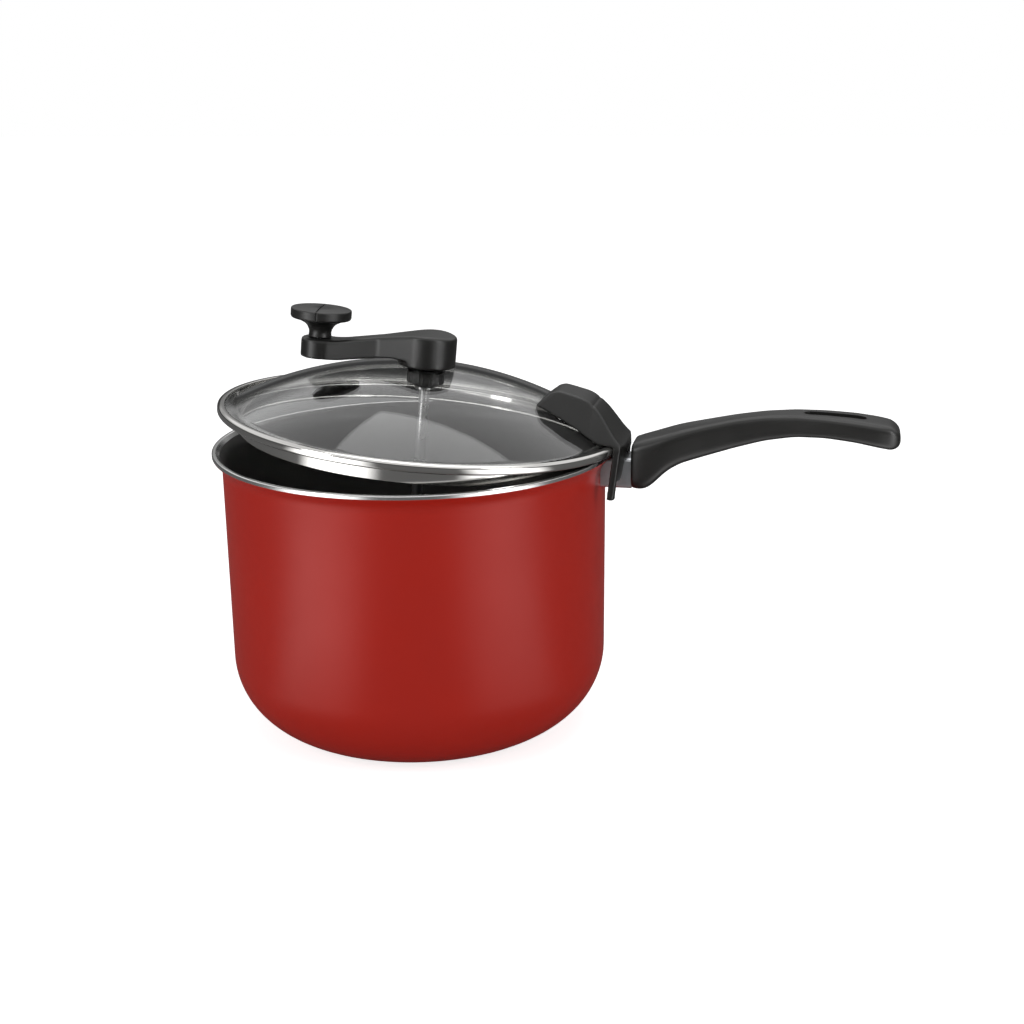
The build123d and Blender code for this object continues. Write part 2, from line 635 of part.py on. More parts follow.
def clip_screw():
    """Screw from inside the lid into the hood's boss."""
    under = -GLASS - GASKET - WASHER
    head = pan_head(CLIP_HEAD_R, under - CLIP_HEAD, under)
    screw = head + rod(CLIP_SCREW_R, under - CLIP_HEAD / 2, CLIP_BOSS_HEIGHT - SEAT_GAP)
    return clip_frame() * (screw - cross_recess(under - CLIP_HEAD))


def clip_washer():
    """Steel washer under the head of the hood's screw."""
    top = -GLASS - GASKET
    return clip_frame() * tube(CLIP_WASHER_R, CLIP_SCREW_R + SEAT_GAP, top - WASHER, top)


def clip_gasket():
    """Rubber washer between the steel washer and the glass."""
    ring = tube(CLIP_WASHER_R, CLIP_SCREW_R + SEAT_GAP, -GLASS - GASKET, 0)
    return (clip_frame() * ring) & dome_ball(DOME_IN_R - FIT_GAP)


def hub_bush():
    """Flanged bush that carries the crank's shaft through the glass."""
    bore = SHAFT_R + FIT_GAP
    return turned(
        [
            (bore, BUSH_FOOT_Z),
            (BUSH_R, BUSH_FOOT_Z),
            (BUSH_R, FLANGE_Z),
            (BUSH_FLANGE_R, FLANGE_Z),
            (BUSH_FLANGE_R, FLANGE_TOP_Z),
            (bore, FLANGE_TOP_Z),
        ],
        [0, BUSH_WALL / 4, 0, 0, BUSH_FLANGE / 4, 0],
    )


def bush_nut():
    """Fluted nut that clamps the bush to the glass from inside."""
    bore = BUSH_R + FIT_GAP
    nut = turned(
        [(bore, NUT_FOOT_Z), (NUT_R, NUT_FOOT_Z), (NUT_R, NUT_TOP_Z), (bore, NUT_TOP_Z)],
        [0, NUT_FLUTE_R, 0, 0],
    )
    flute = rod(NUT_FLUTE_R, NUT_FOOT_Z - PAST, NUT_TOP_Z - NUT_FLUTE_R, NUT_R)
    for index in range(NUT_FLUTES):
        nut -= Rot(0, 0, 360 * index / NUT_FLUTES) * flute
    return nut


def upper_gasket():
    """Rubber washer between the bush's flange and the outside of the glass."""
    ring = tube(GASKET_R, BUSH_R + FIT_GAP, APEX_TOP - GASKET, FLANGE_Z)
    return ring - dome_ball(DOME_OUT_R + FIT_GAP)


def lower_gasket():
    """Rubber washer between the nut and the inside of the glass."""
    ring = tube(NUT_R, BUSH_R + FIT_GAP, NUT_TOP_Z, APEX_UNDER)
    return ring & dome_ball(DOME_IN_R - FIT_GAP)


# ---------------------------------------------------------------- crank
def drive_shaft():
    """Steel shaft with a threaded spigot in the arm, a clip groove and a flat at its foot."""
    shaft = rod(SHAFT_R, SHAFT_FOOT_Z, INSERT_Z)
    shaft += rod(SPIGOT_R, INSERT_Z - PAST, INSERT_TOP_Z - FIT_GAP)
    clip_foot = CIRCLIP_TOP_Z - CIRCLIP
    groove = tube(SHAFT_R + PAST, SHAFT_R - GROOVE_DEPTH, clip_foot - FIT_GAP, CIRCLIP_TOP_Z + FIT_GAP)
    flat = Rot(0, 0, STIR_TURN) * Pos(0, 2 * SHAFT_R - GROOVE_DEPTH, (SHAFT_FOOT_Z + STIR_HUB_TOP_Z) / 2)
    flat *= Box(2 * SHAFT_R, 2 * SHAFT_R, STIR_HUB_TOP_Z - SHAFT_FOOT_Z)
    return shaft - groove - flat


def shaft_washer():
    """Washer that runs between the bush and the shaft's clip."""
    return tube(WASHER_R, SHAFT_R + FIT_GAP, WASHER_TOP_Z - WASHER, WASHER_TOP_Z)


def shaft_circlip():
    """Spring clip in the shaft's groove."""
    foot = CIRCLIP_TOP_Z - CIRCLIP
    ring = tube(CIRCLIP_R, SHAFT_R - GROOVE_DEPTH + FIT_GAP, foot, CIRCLIP_TOP_Z)
    reach = CIRCLIP_R + PAST
    spread = reach * math.tan(math.radians(CIRCLIP_GAP_ANGLE / 2))
    mouth = plan_prism(
        [(0, 0), (reach, spread), (reach, -spread)],
        [0, 0, 0],
        foot - PAST,
        CIRCLIP_TOP_Z + PAST,
    )
    return ring - mouth


def crank_arm():
    """Moulded arm: a hub that cups the bush, a tapering arm and a round end for the knob."""
    end = -CRANK_RADIUS
    neck_x = -HUB_R - ARM_END_R
    neck = ARM_NECK_HALF
    wide = ARM_NECK_HALF + ARM_FLARE
    tangent = math.atan2(neck, neck_x) - math.acos(HUB_R / math.hypot(neck_x, neck))
    leave_x = HUB_R * math.cos(tangent)
    leave_y = HUB_R * math.sin(tangent)
    outline = Polyline(
        (leave_x, -leave_y, 0),
        (neck_x, -neck, 0),
        (end, -wide, 0),
        (end, wide, 0),
        (neck_x, neck, 0),
        (leave_x, leave_y, 0),
        close=True,
    )
    plan = make_face(outline) + Circle(HUB_R) + Pos(end, 0) * Circle(ARM_END_R)
    waist = plan.vertices().filter_by(lambda v: end + ARM_EDGE_R < v.X < -HUB_R)
    plan = fillet(waist, ARM_NECK_R)
    body = Pos(0, 0, ARM_FOOT_Z - PAST) * extrude(plan, amount=HUB_TOP_Z - ARM_FOOT_Z + 2 * PAST)
    past_end = end - ARM_END_R - PAST
    past_hub = HUB_R + PAST
    side = side_prism(
        [
            (past_hub, ARM_UNDER_Z),
            (past_hub, HUB_TOP_Z - ARM_EDGE_R),
            (0, HUB_TOP_Z),
            (-HUB_R, HUB_TOP_Z - HUB_SLOPE),
            (end + ARM_END_R, ARM_TOP_Z),
            (past_end, ARM_TOP_Z),
            (past_end, ARM_FOOT_Z),
            (end + ARM_END_R, ARM_FOOT_Z),
            (-HUB_R - ARM_UNDER_RISE, ARM_UNDER_Z),
        ],
        [0, 0, CRANK_RADIUS, CRANK_RADIUS, CRANK_RADIUS, 0, 0, CRANK_RADIUS, ARM_UNDER_RISE],
        past_hub,
    )
    arm = (body & side) + rod(HUB_R, HUB_FOOT_Z, ARM_UNDER_Z + ARM_UNDER_RISE)
    top_edges = arm.edges().filter_by(lambda e: e.center().Z > ARM_TOP_Z - ARM_EDGE_R)
    top_edges = top_edges.filter_by(lambda e: e.bounding_box().size.Z < ARM_DROP / 2)
    arm = fillet(top_edges, ARM_EDGE_R)
    arm -= rod(HUB_R - HUB_WALL, HUB_FOOT_Z - PAST, HUB_HOLLOW_Z)
    arm -= rod(SHAFT_R + HOLE_GAP, HUB_HOLLOW_Z - PAST, INSERT_Z)
    arm -= rod(INSERT_R + FIT_GAP, INSERT_Z, INSERT_TOP_Z + FIT_GAP)
    arm -= rod(KNOB_PIN_R + FIT_GAP, ARM_FOOT_Z - PAST, ARM_TOP_Z + PAST, end)
    arm -= rod(KNOB_PIN_HEAD_R + HOLE_GAP, ARM_FOOT_Z - PAST, ARM_FOOT_Z + KNOB_PIN_HEAD, end)
    return arm


def arm_insert():
    """Knurled brass insert in the arm that takes the shaft's spigot."""
    insert = tube(INSERT_R, SPIGOT_R + FIT_GAP, INSERT_Z + FIT_GAP, INSERT_TOP_Z)
    middle = (INSERT_Z + INSERT_TOP_Z) / 2
    waist = INSERT_WAIST / 2
    return insert - tube(INSERT_R + PAST, INSERT_R - INSERT_WALL / 4, middle - waist, middle + waist)


def knob_pin():
    """Shouldered pin, riveted up through the arm, on which the knob turns."""
    head = pan_head(KNOB_PIN_HEAD_R, ARM_FOOT_Z, ARM_FOOT_Z + KNOB_PIN_HEAD - FIT_GAP)
    pin = head + rod(KNOB_PIN_R, ARM_FOOT_Z + KNOB_PIN_HEAD / 2, KNOB_PIN_TOP_Z)
    groove_z = KNOB_PIN_TOP_Z - 2 * KNOB_CLIP
    groove = tube(
        KNOB_PIN_R + PAST,
        KNOB_PIN_R - GROOVE_DEPTH,
        groove_z - KNOB_CLIP / 2 - FIT_GAP,
        groove_z + KNOB_CLIP / 2 + FIT_GAP,
    )
    return Pos(-CRANK_RADIUS, 0, 0) * (pin - groove)


def knob():
    """Knob with a flared neck and a flat disc, with the mould's parting line across it."""
    foot = KNOB_FOOT_Z
    top = foot + KNOB_HEIGHT
    disc = top - KNOB_DISC
    edge_r = KNOB_DISC / 4
    body = turned(
        [
            (0, foot),
            (KNOB_NECK_R, foot),
            (KNOB_NECK_R + edge_r, (foot + disc) / 2),
            (KNOB_R - 2 * edge_r, disc),
            (KNOB_R, disc + edge_r / 2),
            (KNOB_R, top - edge_r / 3),
            (0, top),
        ],
        [0, 0, KNOB_NECK_R, 0, edge_r, edge_r, 0],
    )
    body -= rod(KNOB_PIN_R + FIT_GAP, foot - PAST, KNOB_BORE_Z)
    clip_room = KNOB_PIN_R + KNOB_CLIP_LIP + BODY_GAP
    body -= rod(clip_room, KNOB_PIN_TOP_Z - 3 * KNOB_CLIP, KNOB_BORE_Z)
    groove = Box(2 * KNOB_R + PAST, KNOB_GROOVE, 2 * KNOB_GROOVE)
    body -= Pos(0, 0, top) * Rot(0, 0, KNOB_LINE_ANGLE) * groove
    return Pos(-CRANK_RADIUS, 0, 0) * body


def knob_clip():
    """Snap ring in the pin's groove that holds the knob on."""
    middle = KNOB_PIN_TOP_Z - 2 * KNOB_CLIP
    inner = KNOB_PIN_R - GROOVE_DEPTH + FIT_GAP
    ring = tube(KNOB_PIN_R + KNOB_CLIP_LIP, inner, middle - KNOB_CLIP / 2, middle + KNOB_CLIP / 2)
    mouth = Pos(KNOB_PIN_R, 0, middle) * Box(2 * KNOB_PIN_R, KNOB_PIN_R, 2 * KNOB_CLIP)
    return Pos(-CRANK_RADIUS, 0, 0) * (ring - mouth)


# ---------------------------------------------------------------- stirrer
def set_screw_place():
    """Foot of the set screw, laid along +Y, halfway up the part of the hub over the wires."""
    z = (STIR_FOOT_Z + STIR_WIRE_RISE + STIR_WIRE_R + STIR_HUB_TOP_Z) / 2
    return Rot(0, 0, STIR_TURN) * Pos(0, 0, z) * Rot(-90, 0, 0)


def stirrer_hub():
    """Boss on the foot of the shaft with a cross hole for each wire and one for its screw."""
    hub = turned(
        [
            (0, STIR_FOOT_Z),
            (STIR_HUB_R, STIR_FOOT_Z),
            (STIR_HUB_R, STIR_HUB_TOP_Z),
            (0, STIR_HUB_TOP_Z),
        ],
        [0, STIR_HUB_R / 8, STIR_HUB_R / 4, 0],
    )
    hub -= rod(SHAFT_R + FIT_GAP, SHAFT_FOOT_Z - FIT_GAP, STIR_HUB_TOP_Z + PAST)
    wire_z = STIR_FOOT_Z + STIR_WIRE_RISE
    for side, _ in STIR_SIDES:
        hole = rod(STIR_WIRE_R + FIT_GAP, SHAFT_R + PAST, STIR_HUB_R + PAST)
        hub -= Rot(0, 0, STIR_TURN) * Pos(0, 0, wire_z) * Rot(0, 90 * side, 0) * hole
    return hub - set_screw_place() * rod(SET_SCREW_R + FIT_GAP, 0, STIR_HUB_R + PAST)


def floor_rise(radius):
    """How far the pan's rounded corner lifts above the floor at a radius."""
    corner = PAN_CORNER_R - PAN_WALL
    over = max(0.0, radius - INNER_R + corner)
    return corner - math.sqrt(corner**2 - over**2)


def stirrer_wire(side, reach):
    """Bent wire that leaves the hub, runs along the floor and turns up at its end."""
    low = STIR_FOOT_Z + STIR_WIRE_R
    level = STIR_FOOT_Z + STIR_WIRE_RISE
    knee = 2 * STIR_HUB_R
    turn = reach - STIR_BEND_R
    points = [
        (side * (SHAFT_R + PAST + FIT_GAP), 0, level),
        (side * knee, 0, level),
        (side * (knee + STIR_HUB_R), side * STIR_SWEEP / 4, low),
        (side * (knee + turn) / 2, side * STIR_SWEEP, low),
        (side * turn, side * STIR_SWEEP / 2, low + floor_rise(turn)),
        (side * reach, 0, low + floor_rise(reach) + STIR_TIP_RISE),
    ]
    path = FilletPolyline(*points, radius=[STIR_WIRE_RISE, STIR_WIRE_RISE, STIR_BEND_R, STIR_WIRE_RISE])
    section = Plane(origin=points[0], z_dir=(side, 0, 0)) * Circle(STIR_WIRE_R)
    return Rot(0, 0, STIR_TURN) * sweep(section, path=path)


def stirrer_set_screw():
    """Grub screw that locks the hub to the shaft's flat."""
    foot = SHAFT_R - GROOVE_DEPTH + FIT_GAP
    screw = rod(SET_SCREW_R, foot, STIR_HUB_R - BODY_GAP)
    socket = extrude(RegularPolygon(SET_SCREW_R / 2, 6), amount=SET_SCREW_R / 2, both=True)
    return set_screw_place() * (screw - Pos(0, 0, STIR_HUB_R - BODY_GAP) * socket)


# ---------------------------------------------------------------- assembly
PAN_PARTS = {
    "pan_body": pan_body(),
    "handle_bracket": handle_bracket(),
    "bracket_rivet_left": bracket_rivet(RIVET_Y),
    "bracket_rivet_right": bracket_rivet(-RIVET_Y),
    "handle_grip": handle_grip(),
    "handle_screw": handle_screw(),
}

LID_PARTS = {
    "lid_glass": lid_glass(),
    "lid_rim": lid_rim(),
    "lid_hood": lid_hood(),
    "hood_screw": clip_screw(),
    "hood_washer": clip_washer(),
    "hood_gasket": clip_gasket(),
    "hub_bush": hub_bush(),
    "bush_nut": bush_nut(),
    "upper_gasket": upper_gasket(),
    "lower_gasket": lower_gasket(),
    "drive_shaft": drive_shaft(),
    "shaft_washer": shaft_washer(),
    "shaft_circlip": shaft_circlip(),
    "crank_arm": crank_arm(),
    "arm_insert": arm_insert(),
    "knob_pin": knob_pin(),
    "knob": knob(),
    "knob_clip": knob_clip(),
    "stirrer_hub": stirrer_hub(),
    "stirrer_set_screw": stirrer_set_screw(),
}

for name, (side, reach) in zip(("stirrer_wire_long", "stirrer_wire_short"), STIR_SIDES):
    LID_PARTS[name] = stirrer_wire(side, reach)

PARTS = dict(PAN_PARTS)
for name, piece in LID_PARTS.items():
    PARTS[name] = LID_POSE * piece

for name, piece in PARTS.items():
    export_step(piece, f"parts/{name}.step")
    print(f"{name}: {piece.volume / 1000:.2f} cm3")
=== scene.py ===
# %% [markdown]
# # A stovetop popcorn popper, dressed for a studio picture
#
# The popper is a deep red pan with a long black handle and a domed glass lid. A crank on the lid
# turns a stirrer on the pan's floor. The CAD model already holds every piece in its right place,
# so this lesson loads it as a fixed frame and gives it the looks: smoother surfaces where the
# CAD's facets would show, and a finish for every piece.

# %% Load the frame
import json
import math

import bpy
import numpy as np
from mathutils import Matrix, Vector


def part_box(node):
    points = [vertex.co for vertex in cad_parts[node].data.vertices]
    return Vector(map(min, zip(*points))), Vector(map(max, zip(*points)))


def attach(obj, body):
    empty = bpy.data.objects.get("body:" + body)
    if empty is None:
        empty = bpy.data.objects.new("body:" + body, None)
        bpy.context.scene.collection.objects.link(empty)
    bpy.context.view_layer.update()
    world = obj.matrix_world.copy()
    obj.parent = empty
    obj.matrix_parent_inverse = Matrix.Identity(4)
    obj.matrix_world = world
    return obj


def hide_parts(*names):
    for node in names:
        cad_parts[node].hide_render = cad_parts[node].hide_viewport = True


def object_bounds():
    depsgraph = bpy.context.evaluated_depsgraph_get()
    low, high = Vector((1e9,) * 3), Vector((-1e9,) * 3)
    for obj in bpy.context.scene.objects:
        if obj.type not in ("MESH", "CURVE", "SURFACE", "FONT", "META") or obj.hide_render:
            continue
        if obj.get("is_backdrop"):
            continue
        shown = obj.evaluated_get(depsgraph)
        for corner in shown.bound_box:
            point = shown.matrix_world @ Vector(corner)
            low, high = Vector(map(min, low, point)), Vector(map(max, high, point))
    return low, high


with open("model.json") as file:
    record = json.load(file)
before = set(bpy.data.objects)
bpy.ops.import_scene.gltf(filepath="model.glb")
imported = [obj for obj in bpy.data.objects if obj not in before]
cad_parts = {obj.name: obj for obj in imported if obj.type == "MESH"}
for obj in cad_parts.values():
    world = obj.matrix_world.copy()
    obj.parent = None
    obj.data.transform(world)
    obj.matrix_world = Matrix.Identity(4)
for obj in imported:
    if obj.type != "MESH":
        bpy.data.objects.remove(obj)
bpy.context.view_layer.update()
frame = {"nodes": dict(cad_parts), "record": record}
NODES = frame["nodes"]

# %% [markdown]
# ## The camera
#
# The picture is taken from a little above the rim, with a lens that is longer than normal, so
# the pan's sides stay nearly parallel. The camera's place was worked out from the ellipse of the
# rim. It could be aimed with a constraint, but three plain turns are easier to read: tip the
# camera down from the horizon, turn it about the vertical, and roll it a little.

# %% Camera
CAMERA_PLACE = Vector((0.2344, -0.8371, 0.38143))
CAMERA_DOWN = 0.29
CAMERA_TURN = math.radians(12.0)
CAMERA_ROLL = -0.0112
CAMERA_LENS = 54.86
CAMERA_SENSOR = 36.0

camera = bpy.data.objects.new("camera", bpy.data.cameras.new("camera"))
bpy.context.scene.collection.objects.link(camera)
camera.matrix_world = (
    Matrix.Translation(CAMERA_PLACE)
    @ Matrix.Rotation(CAMERA_TURN, 4, "Z")
    @ Matrix.Rotation(math.pi / 2 - CAMERA_DOWN, 4, "X")
    @ Matrix.Rotation(CAMERA_ROLL, 4, "Z")
)
camera.data.sensor_width = CAMERA_SENSOR
camera.data.lens = CAMERA_LENS
camera.data.clip_start = 0.01
bpy.context.scene.camera = camera
print("camera at", tuple(round(c, 4) for c in camera.location))

# %% [markdown]
# ## Outlines and turned surfaces
#
# Most of a pan is turned: an outline of (radius, height) points swept once round an axis. A
# modifier such as Screw could do it, but working the points out in numpy gives every ring and
# every face in a few whole-array steps, and leaves a finished mesh. The outline's corners get
# true arcs first, so that light runs smoothly over them.

# %% Rounded outlines
STRAIGHT = math.radians(89.9)
SHARP_ABOVE = math.radians(32)
NEAR_AXIS = 1e-9


def rounded(points, radii, step=math.radians(6)):
    """Outline through the points with an arc in each corner.

    An arc of radius R touches both sides at R / tan(half the corner's angle) from the corner.
    Its centre c lies on the corner's bisector, and with a and b the touching points seen from c,
    a point at share s of the sweep w is c + (a sin((1 - s) w) + b sin(s w)) / sin(w).
    """
    points = np.asarray(points, float)
    pieces = [points[:1]]
    for before, corner, after, radius in zip(points, points[1:], points[2:], radii[1:]):
        back = (before - corner) / np.linalg.norm(before - corner)
        on = (after - corner) / np.linalg.norm(after - corner)
        half = math.acos(np.clip(back @ on, -1, 1)) / 2
        if radius == 0 or half > STRAIGHT:
            pieces.append(corner[None])
            continue
        centre = corner + (back + on) / np.linalg.norm(back + on) * radius / math.sin(half)
        start = corner + back * radius / math.tan(half) - centre
        end = corner + on * radius / math.tan(half) - centre
        sweep = math.pi - 2 * half
        share = np.linspace(0, 1, max(3, math.ceil(sweep / step)))[:, None]
        arc = start * np.sin((1 - share) * sweep) + end * np.sin(share * sweep)
        pieces.append(centre + arc / math.sin(sweep))
    pieces.append(points[-1:])
    return np.concatenate(pieces)


def piece(name, points, faces, body, node):
    """Smooth mesh of points and faces that rides on a body and stands for a CAD node."""
    mesh = bpy.data.meshes.new(name)
    mesh.from_pydata(points.tolist(), [], faces)
    mesh.validate()
    mesh.polygons.foreach_set("use_smooth", np.ones(len(mesh.polygons), bool))
    mesh.set_sharp_from_angle(angle=SHARP_ABOVE)
    thing = bpy.data.objects.new(name, mesh)
    bpy.context.scene.collection.objects.link(thing)
    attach(thing, body)
    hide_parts(node)
    print(name, "faces:", len(mesh.polygons))
    return thing


def turned(profile, turns, closed=False, place=Matrix.Identity(4)):
    """Points and faces of an outline swept round Z, then put in place by a matrix.

    Point (i, j) is (r_i cos a_j, r_i sin a_j, z_i), with a_j the j-th share of a full turn. A
    face joins rows i and i + 1 and columns j and j + 1, and a row of radius 0 is one point.
    """
    r, z = profile.T
    angle = np.linspace(0, 2 * math.pi, turns, endpoint=False)
    x, y = np.outer(r, np.cos(angle)), np.outer(r, np.sin(angle))
    grid = np.stack([x, y, np.outer(z, np.ones(turns))], -1)
    index = np.arange(len(r) * turns).reshape(len(r), turns)
    on_axis = np.flatnonzero(r < NEAR_AXIS)
    index[on_axis] = index[on_axis, :1]
    if closed:
        index = np.concatenate([index, index[:1]])
    ahead = np.roll(index, -1, axis=1)
    quads = np.stack([index[:-1], ahead[:-1], ahead[1:], index[1:]], -1).reshape(-1, 4)
    faces = [list(dict.fromkeys(face)) for face in quads.tolist()]
    points = grid.reshape(-1, 3) @ np.array(place.to_3x3()).T + np.array(place.translation)
    return points, faces


# %% [markdown]
# ## Where the lid lies
#
# The lid leans on the rim near the handle and stands open on the far side. Its own pieces are
# worked out level, in the lid's frame with z = 0 under the steel rim, and this matrix tips them.

# %% The lid's place
LID_CENTRE = Vector((0.004443, 0.001191, 0.176896))
LID_TILT = math.radians(5.75)
LID_TOWARDS = math.radians(15.0)

LID_PLACE = (
    Matrix.Translation(LID_CENTRE)
    @ Matrix.Rotation(LID_TOWARDS, 4, "Z")
    @ Matrix.Rotation(LID_TILT, 4, "Y")
    @ Matrix.Rotation(-LID_TOWARDS, 4, "Z")
)
print("lid axis", tuple(round(c, 4) for c in LID_PLACE.col[2].xyz))

# %% [markdown]
# ## Shared effects
#
# No real surface is one flat value. Three small node groups are shared by all the finishes:
# grain, which is the fine unevenness of a moulded, cast or sprayed surface; handling marks,
# which make patches a little duller or shinier; and turned lines, the rings that a lathe or a
# polishing wheel leaves. Each reads Object coordinates in metres, so its scale is a real size.


# %% Node groups
def new_group(name, inputs, outputs):
    """Empty node group with named inputs and outputs."""
    group = bpy.data.node_groups.new(name, "ShaderNodeTree")
    for label, kind, value in inputs:
        socket = group.interface.new_socket(label, in_out="INPUT", socket_type="NodeSocket" + kind)
        if value is not None:
            socket.default_value = value
    for label, kind in outputs:
        group.interface.new_socket(label, in_out="OUTPUT", socket_type="NodeSocket" + kind)
    return group, group.nodes.new("NodeGroupInput"), group.nodes.new("NodeGroupOutput")


def add(tree, kind, links=(), **values):
    """Adds a node, sets its properties and links (input, output socket) pairs into it."""
    node = tree.nodes.new("ShaderNode" + kind)
    for key, value in values.items():
        setattr(node, key, value)
    for label, source in links:
        if isinstance(source, (int, float, tuple)):
            node.inputs[label].default_value = source
        else:
            tree.links.new(source, node.inputs[label])
    return node


grain, grain_in, grain_out = new_group(
    "grain",
    [("Vector", "Vector", None), ("Grains per metre", "Float", 2000.0)],
    [("Height", "Float")],
)
noise = add(
    grain,
    "TexNoise",
    [
        ("Vector", grain_in.outputs["Vector"]),
        ("Scale", grain_in.outputs["Grains per metre"]),
        ("Detail", 3.0),
        ("Roughness", 0.6),
    ],
)
grain.links.new(noise.outputs["Fac"], grain_out.inputs["Height"])

marks, marks_in, marks_out = new_group(
    "handling marks",
    [
        ("Vector", "Vector", None),
        ("Patches per metre", "Float", 30.0),
        ("Shiny", "Float", 0.3),
        ("Dull", "Float", 0.4),
    ],
    [("Mask", "Float"), ("Roughness", "Float")],
)
broad = add(
    marks,
    "TexNoise",
    [
        ("Vector", marks_in.outputs["Vector"]),
        ("Scale", marks_in.outputs["Patches per metre"]),
        ("Detail", 4.0),
        ("Roughness", 0.55),
    ],
)
spread = add(
    marks,
    "MapRange",
    [
        ("Value", broad.outputs["Fac"]),
        ("From Min", 0.3),
        ("From Max", 0.7),
        ("To Min", marks_in.outputs["Shiny"]),
        ("To Max", marks_in.outputs["Dull"]),
    ],
)
marks.links.new(broad.outputs["Fac"], marks_out.inputs["Mask"])
marks.links.new(spread.outputs["Result"], marks_out.inputs["Roughness"])

rings, rings_in, rings_out = new_group(
    "turned lines",
    [("Vector", "Vector", None), ("Lines per metre", "Float", 1500.0)],
    [("Height", "Float")],
)
flat = add(
    rings,
    "VectorMath",
    [(0, rings_in.outputs["Vector"]), (1, (1.0, 1.0, 0.0))],
    operation="MULTIPLY",
)
distance = add(rings, "VectorMath", [(0, flat.outputs[0])], operation="LENGTH")
phase = add(
    rings,
    "Math",
    [(0, distance.outputs["Value"]), (1, rings_in.outputs["Lines per metre"])],
    operation="MULTIPLY",
)
line = add(
    rings,
    "TexNoise",
    [("W", phase.outputs[0]), ("Scale", 1.0), ("Detail", 2.0)],
    noise_dimensions="1D",
)
rings.links.new(line.outputs["Fac"], rings_out.inputs["Height"])
print("node groups:", [group.name for group in bpy.data.node_groups])

# %% [markdown]
# ## Finishes
#
# Every finish is one Principled shader. What is the same all over, such as how metallic it is,
# is set on the shader's own socket; what changes over the surface comes from the groups. Two
# near tones of one colour, blended by the handling marks, keep a large surface from looking
# painted on.

# %% The finish maker
PATCHES = 25.0
COLOUR_A, COLOUR_B, COLOUR_OUT = 6, 7, 2
VALUE_A, VALUE_B, VALUE_OUT = 2, 3, 0


def finish(name, tone, second, rough, height, grains=0, lines=0, **sockets):
    """Material of two near tones with handling marks, over grain or turned lines.

    rough is the shiniest and the dullest roughness, height the grain's depth in metres, and
    grains and lines are counts per metre. A Mix node's sockets are picked by number, because
    its colour and value sockets share their names.
    """
    material = bpy.data.materials.new(name)
    material.use_nodes = True
    tree = material.node_tree
    shader = tree.nodes["Principled BSDF"]
    for label, value in sockets.items():
        shader.inputs[label.replace("_", " ")].default_value = value
    place = add(tree, "TexCoord").outputs["Object"]
    handled = add(
        tree,
        "Group",
        [("Vector", place), ("Patches per metre", PATCHES), ("Shiny", rough[0]), ("Dull", rough[1])],
        node_tree=marks,
    )
    blend = add(
        tree,
        "Mix",
        [("Factor", handled.outputs["Mask"]), (COLOUR_A, (*tone, 1.0)), (COLOUR_B, (*second, 1.0))],
        data_type="RGBA",
    )
    fine = add(
        tree,
        "Group",
        [("Vector", place), (1, lines or grains)],
        node_tree=rings if lines else grain,
    )
    bump = add(tree, "Bump", [("Height", fine.outputs["Height"]), ("Distance", height)])
    tree.links.new(blend.outputs[COLOUR_OUT], shader.inputs["Base Color"])
    tree.links.new(handled.outputs["Roughness"], shader.inputs["Roughness"])
    tree.links.new(bump.outputs["Normal"], shader.inputs["Normal"])
    return material


RED = finish(
    "red_enamel",
    tone=(0.40, 0.012, 0.004),
    second=(0.36, 0.0095, 0.0032),
    rough=(0.34, 0.40),
    height=0.00002,
    grains=900,
    Specular_IOR_Level=0.3,
)
NONSTICK = finish(
    "dark_nonstick",
    tone=(0.035, 0.033, 0.031),
    second=(0.024, 0.023, 0.022),
    rough=(0.38, 0.5),
    height=0.00003,
    grains=2500,
)
BARE = finish(
    "bare_aluminium",
    tone=(0.78, 0.78, 0.77),
    second=(0.7, 0.7, 0.7),
    rough=(0.16, 0.26),
    height=0.00001,
    lines=2500,
    Metallic=1.0,
)
CAST = finish(
    "cast_aluminium",
    tone=(0.62, 0.64, 0.66),
    second=(0.54, 0.56, 0.58),
    rough=(0.3, 0.42),
    height=0.00004,
    grains=1500,
    Metallic=1.0,
)
BLACK = finish(
    "black_plastic",
    tone=(0.012, 0.0118, 0.011),
    second=(0.0095, 0.0092, 0.0086),
    rough=(0.32, 0.42),
    height=0.00002,
    grains=2600,
)
POLISHED = finish(
    "polished_steel",
    tone=(0.72, 0.71, 0.69),
    second=(0.66, 0.65, 0.63),
    rough=(0.06, 0.11),
    height=0.000004,
    grains=600,
    Metallic=1.0,
)
STEEL = finish(
    "steel",
    tone=(0.6, 0.6, 0.6),
    second=(0.5, 0.5, 0.5),
    rough=(0.2, 0.32),
    height=0.00001,
    grains=1200,
    Metallic=1.0,
)
RUBBER = finish(
    "black_rubber",
    tone=(0.012, 0.012, 0.012),
    second=(0.02, 0.02, 0.02),
    rough=(0.6, 0.75),
    height=0.00004,
    grains=1800,
)
BRASS = finish(
    "brass",
    tone=(0.7, 0.5, 0.2),
    second=(0.6, 0.42, 0.16),
    rough=(0.22, 0.34),
    height=0.00002,
    grains=1200,
    Metallic=1.0,
)
GLASS = finish(
    "clear_glass",
    tone=(0.975, 0.985, 0.98),
    second=(0.985, 0.99, 0.985),
    rough=(0.0, 0.015),
    height=0.000001,
    grains=300,
    Transmission_Weight=1.0,
    IOR=1.5,
)
print("finishes:", len(bpy.data.materials))

# %% [markdown]
# ## The pan
#
# The pan is pressed from one sheet, so its outside and inside are one turned outline: the flat
# base, a large round corner, a nearly upright wall, a flare, and a bare edge where the enamel
# was trimmed off. One mesh with three finishes by zone is closer to the real thing than three
# pieces, because the enamel and the dark lining are only coats on the same metal.

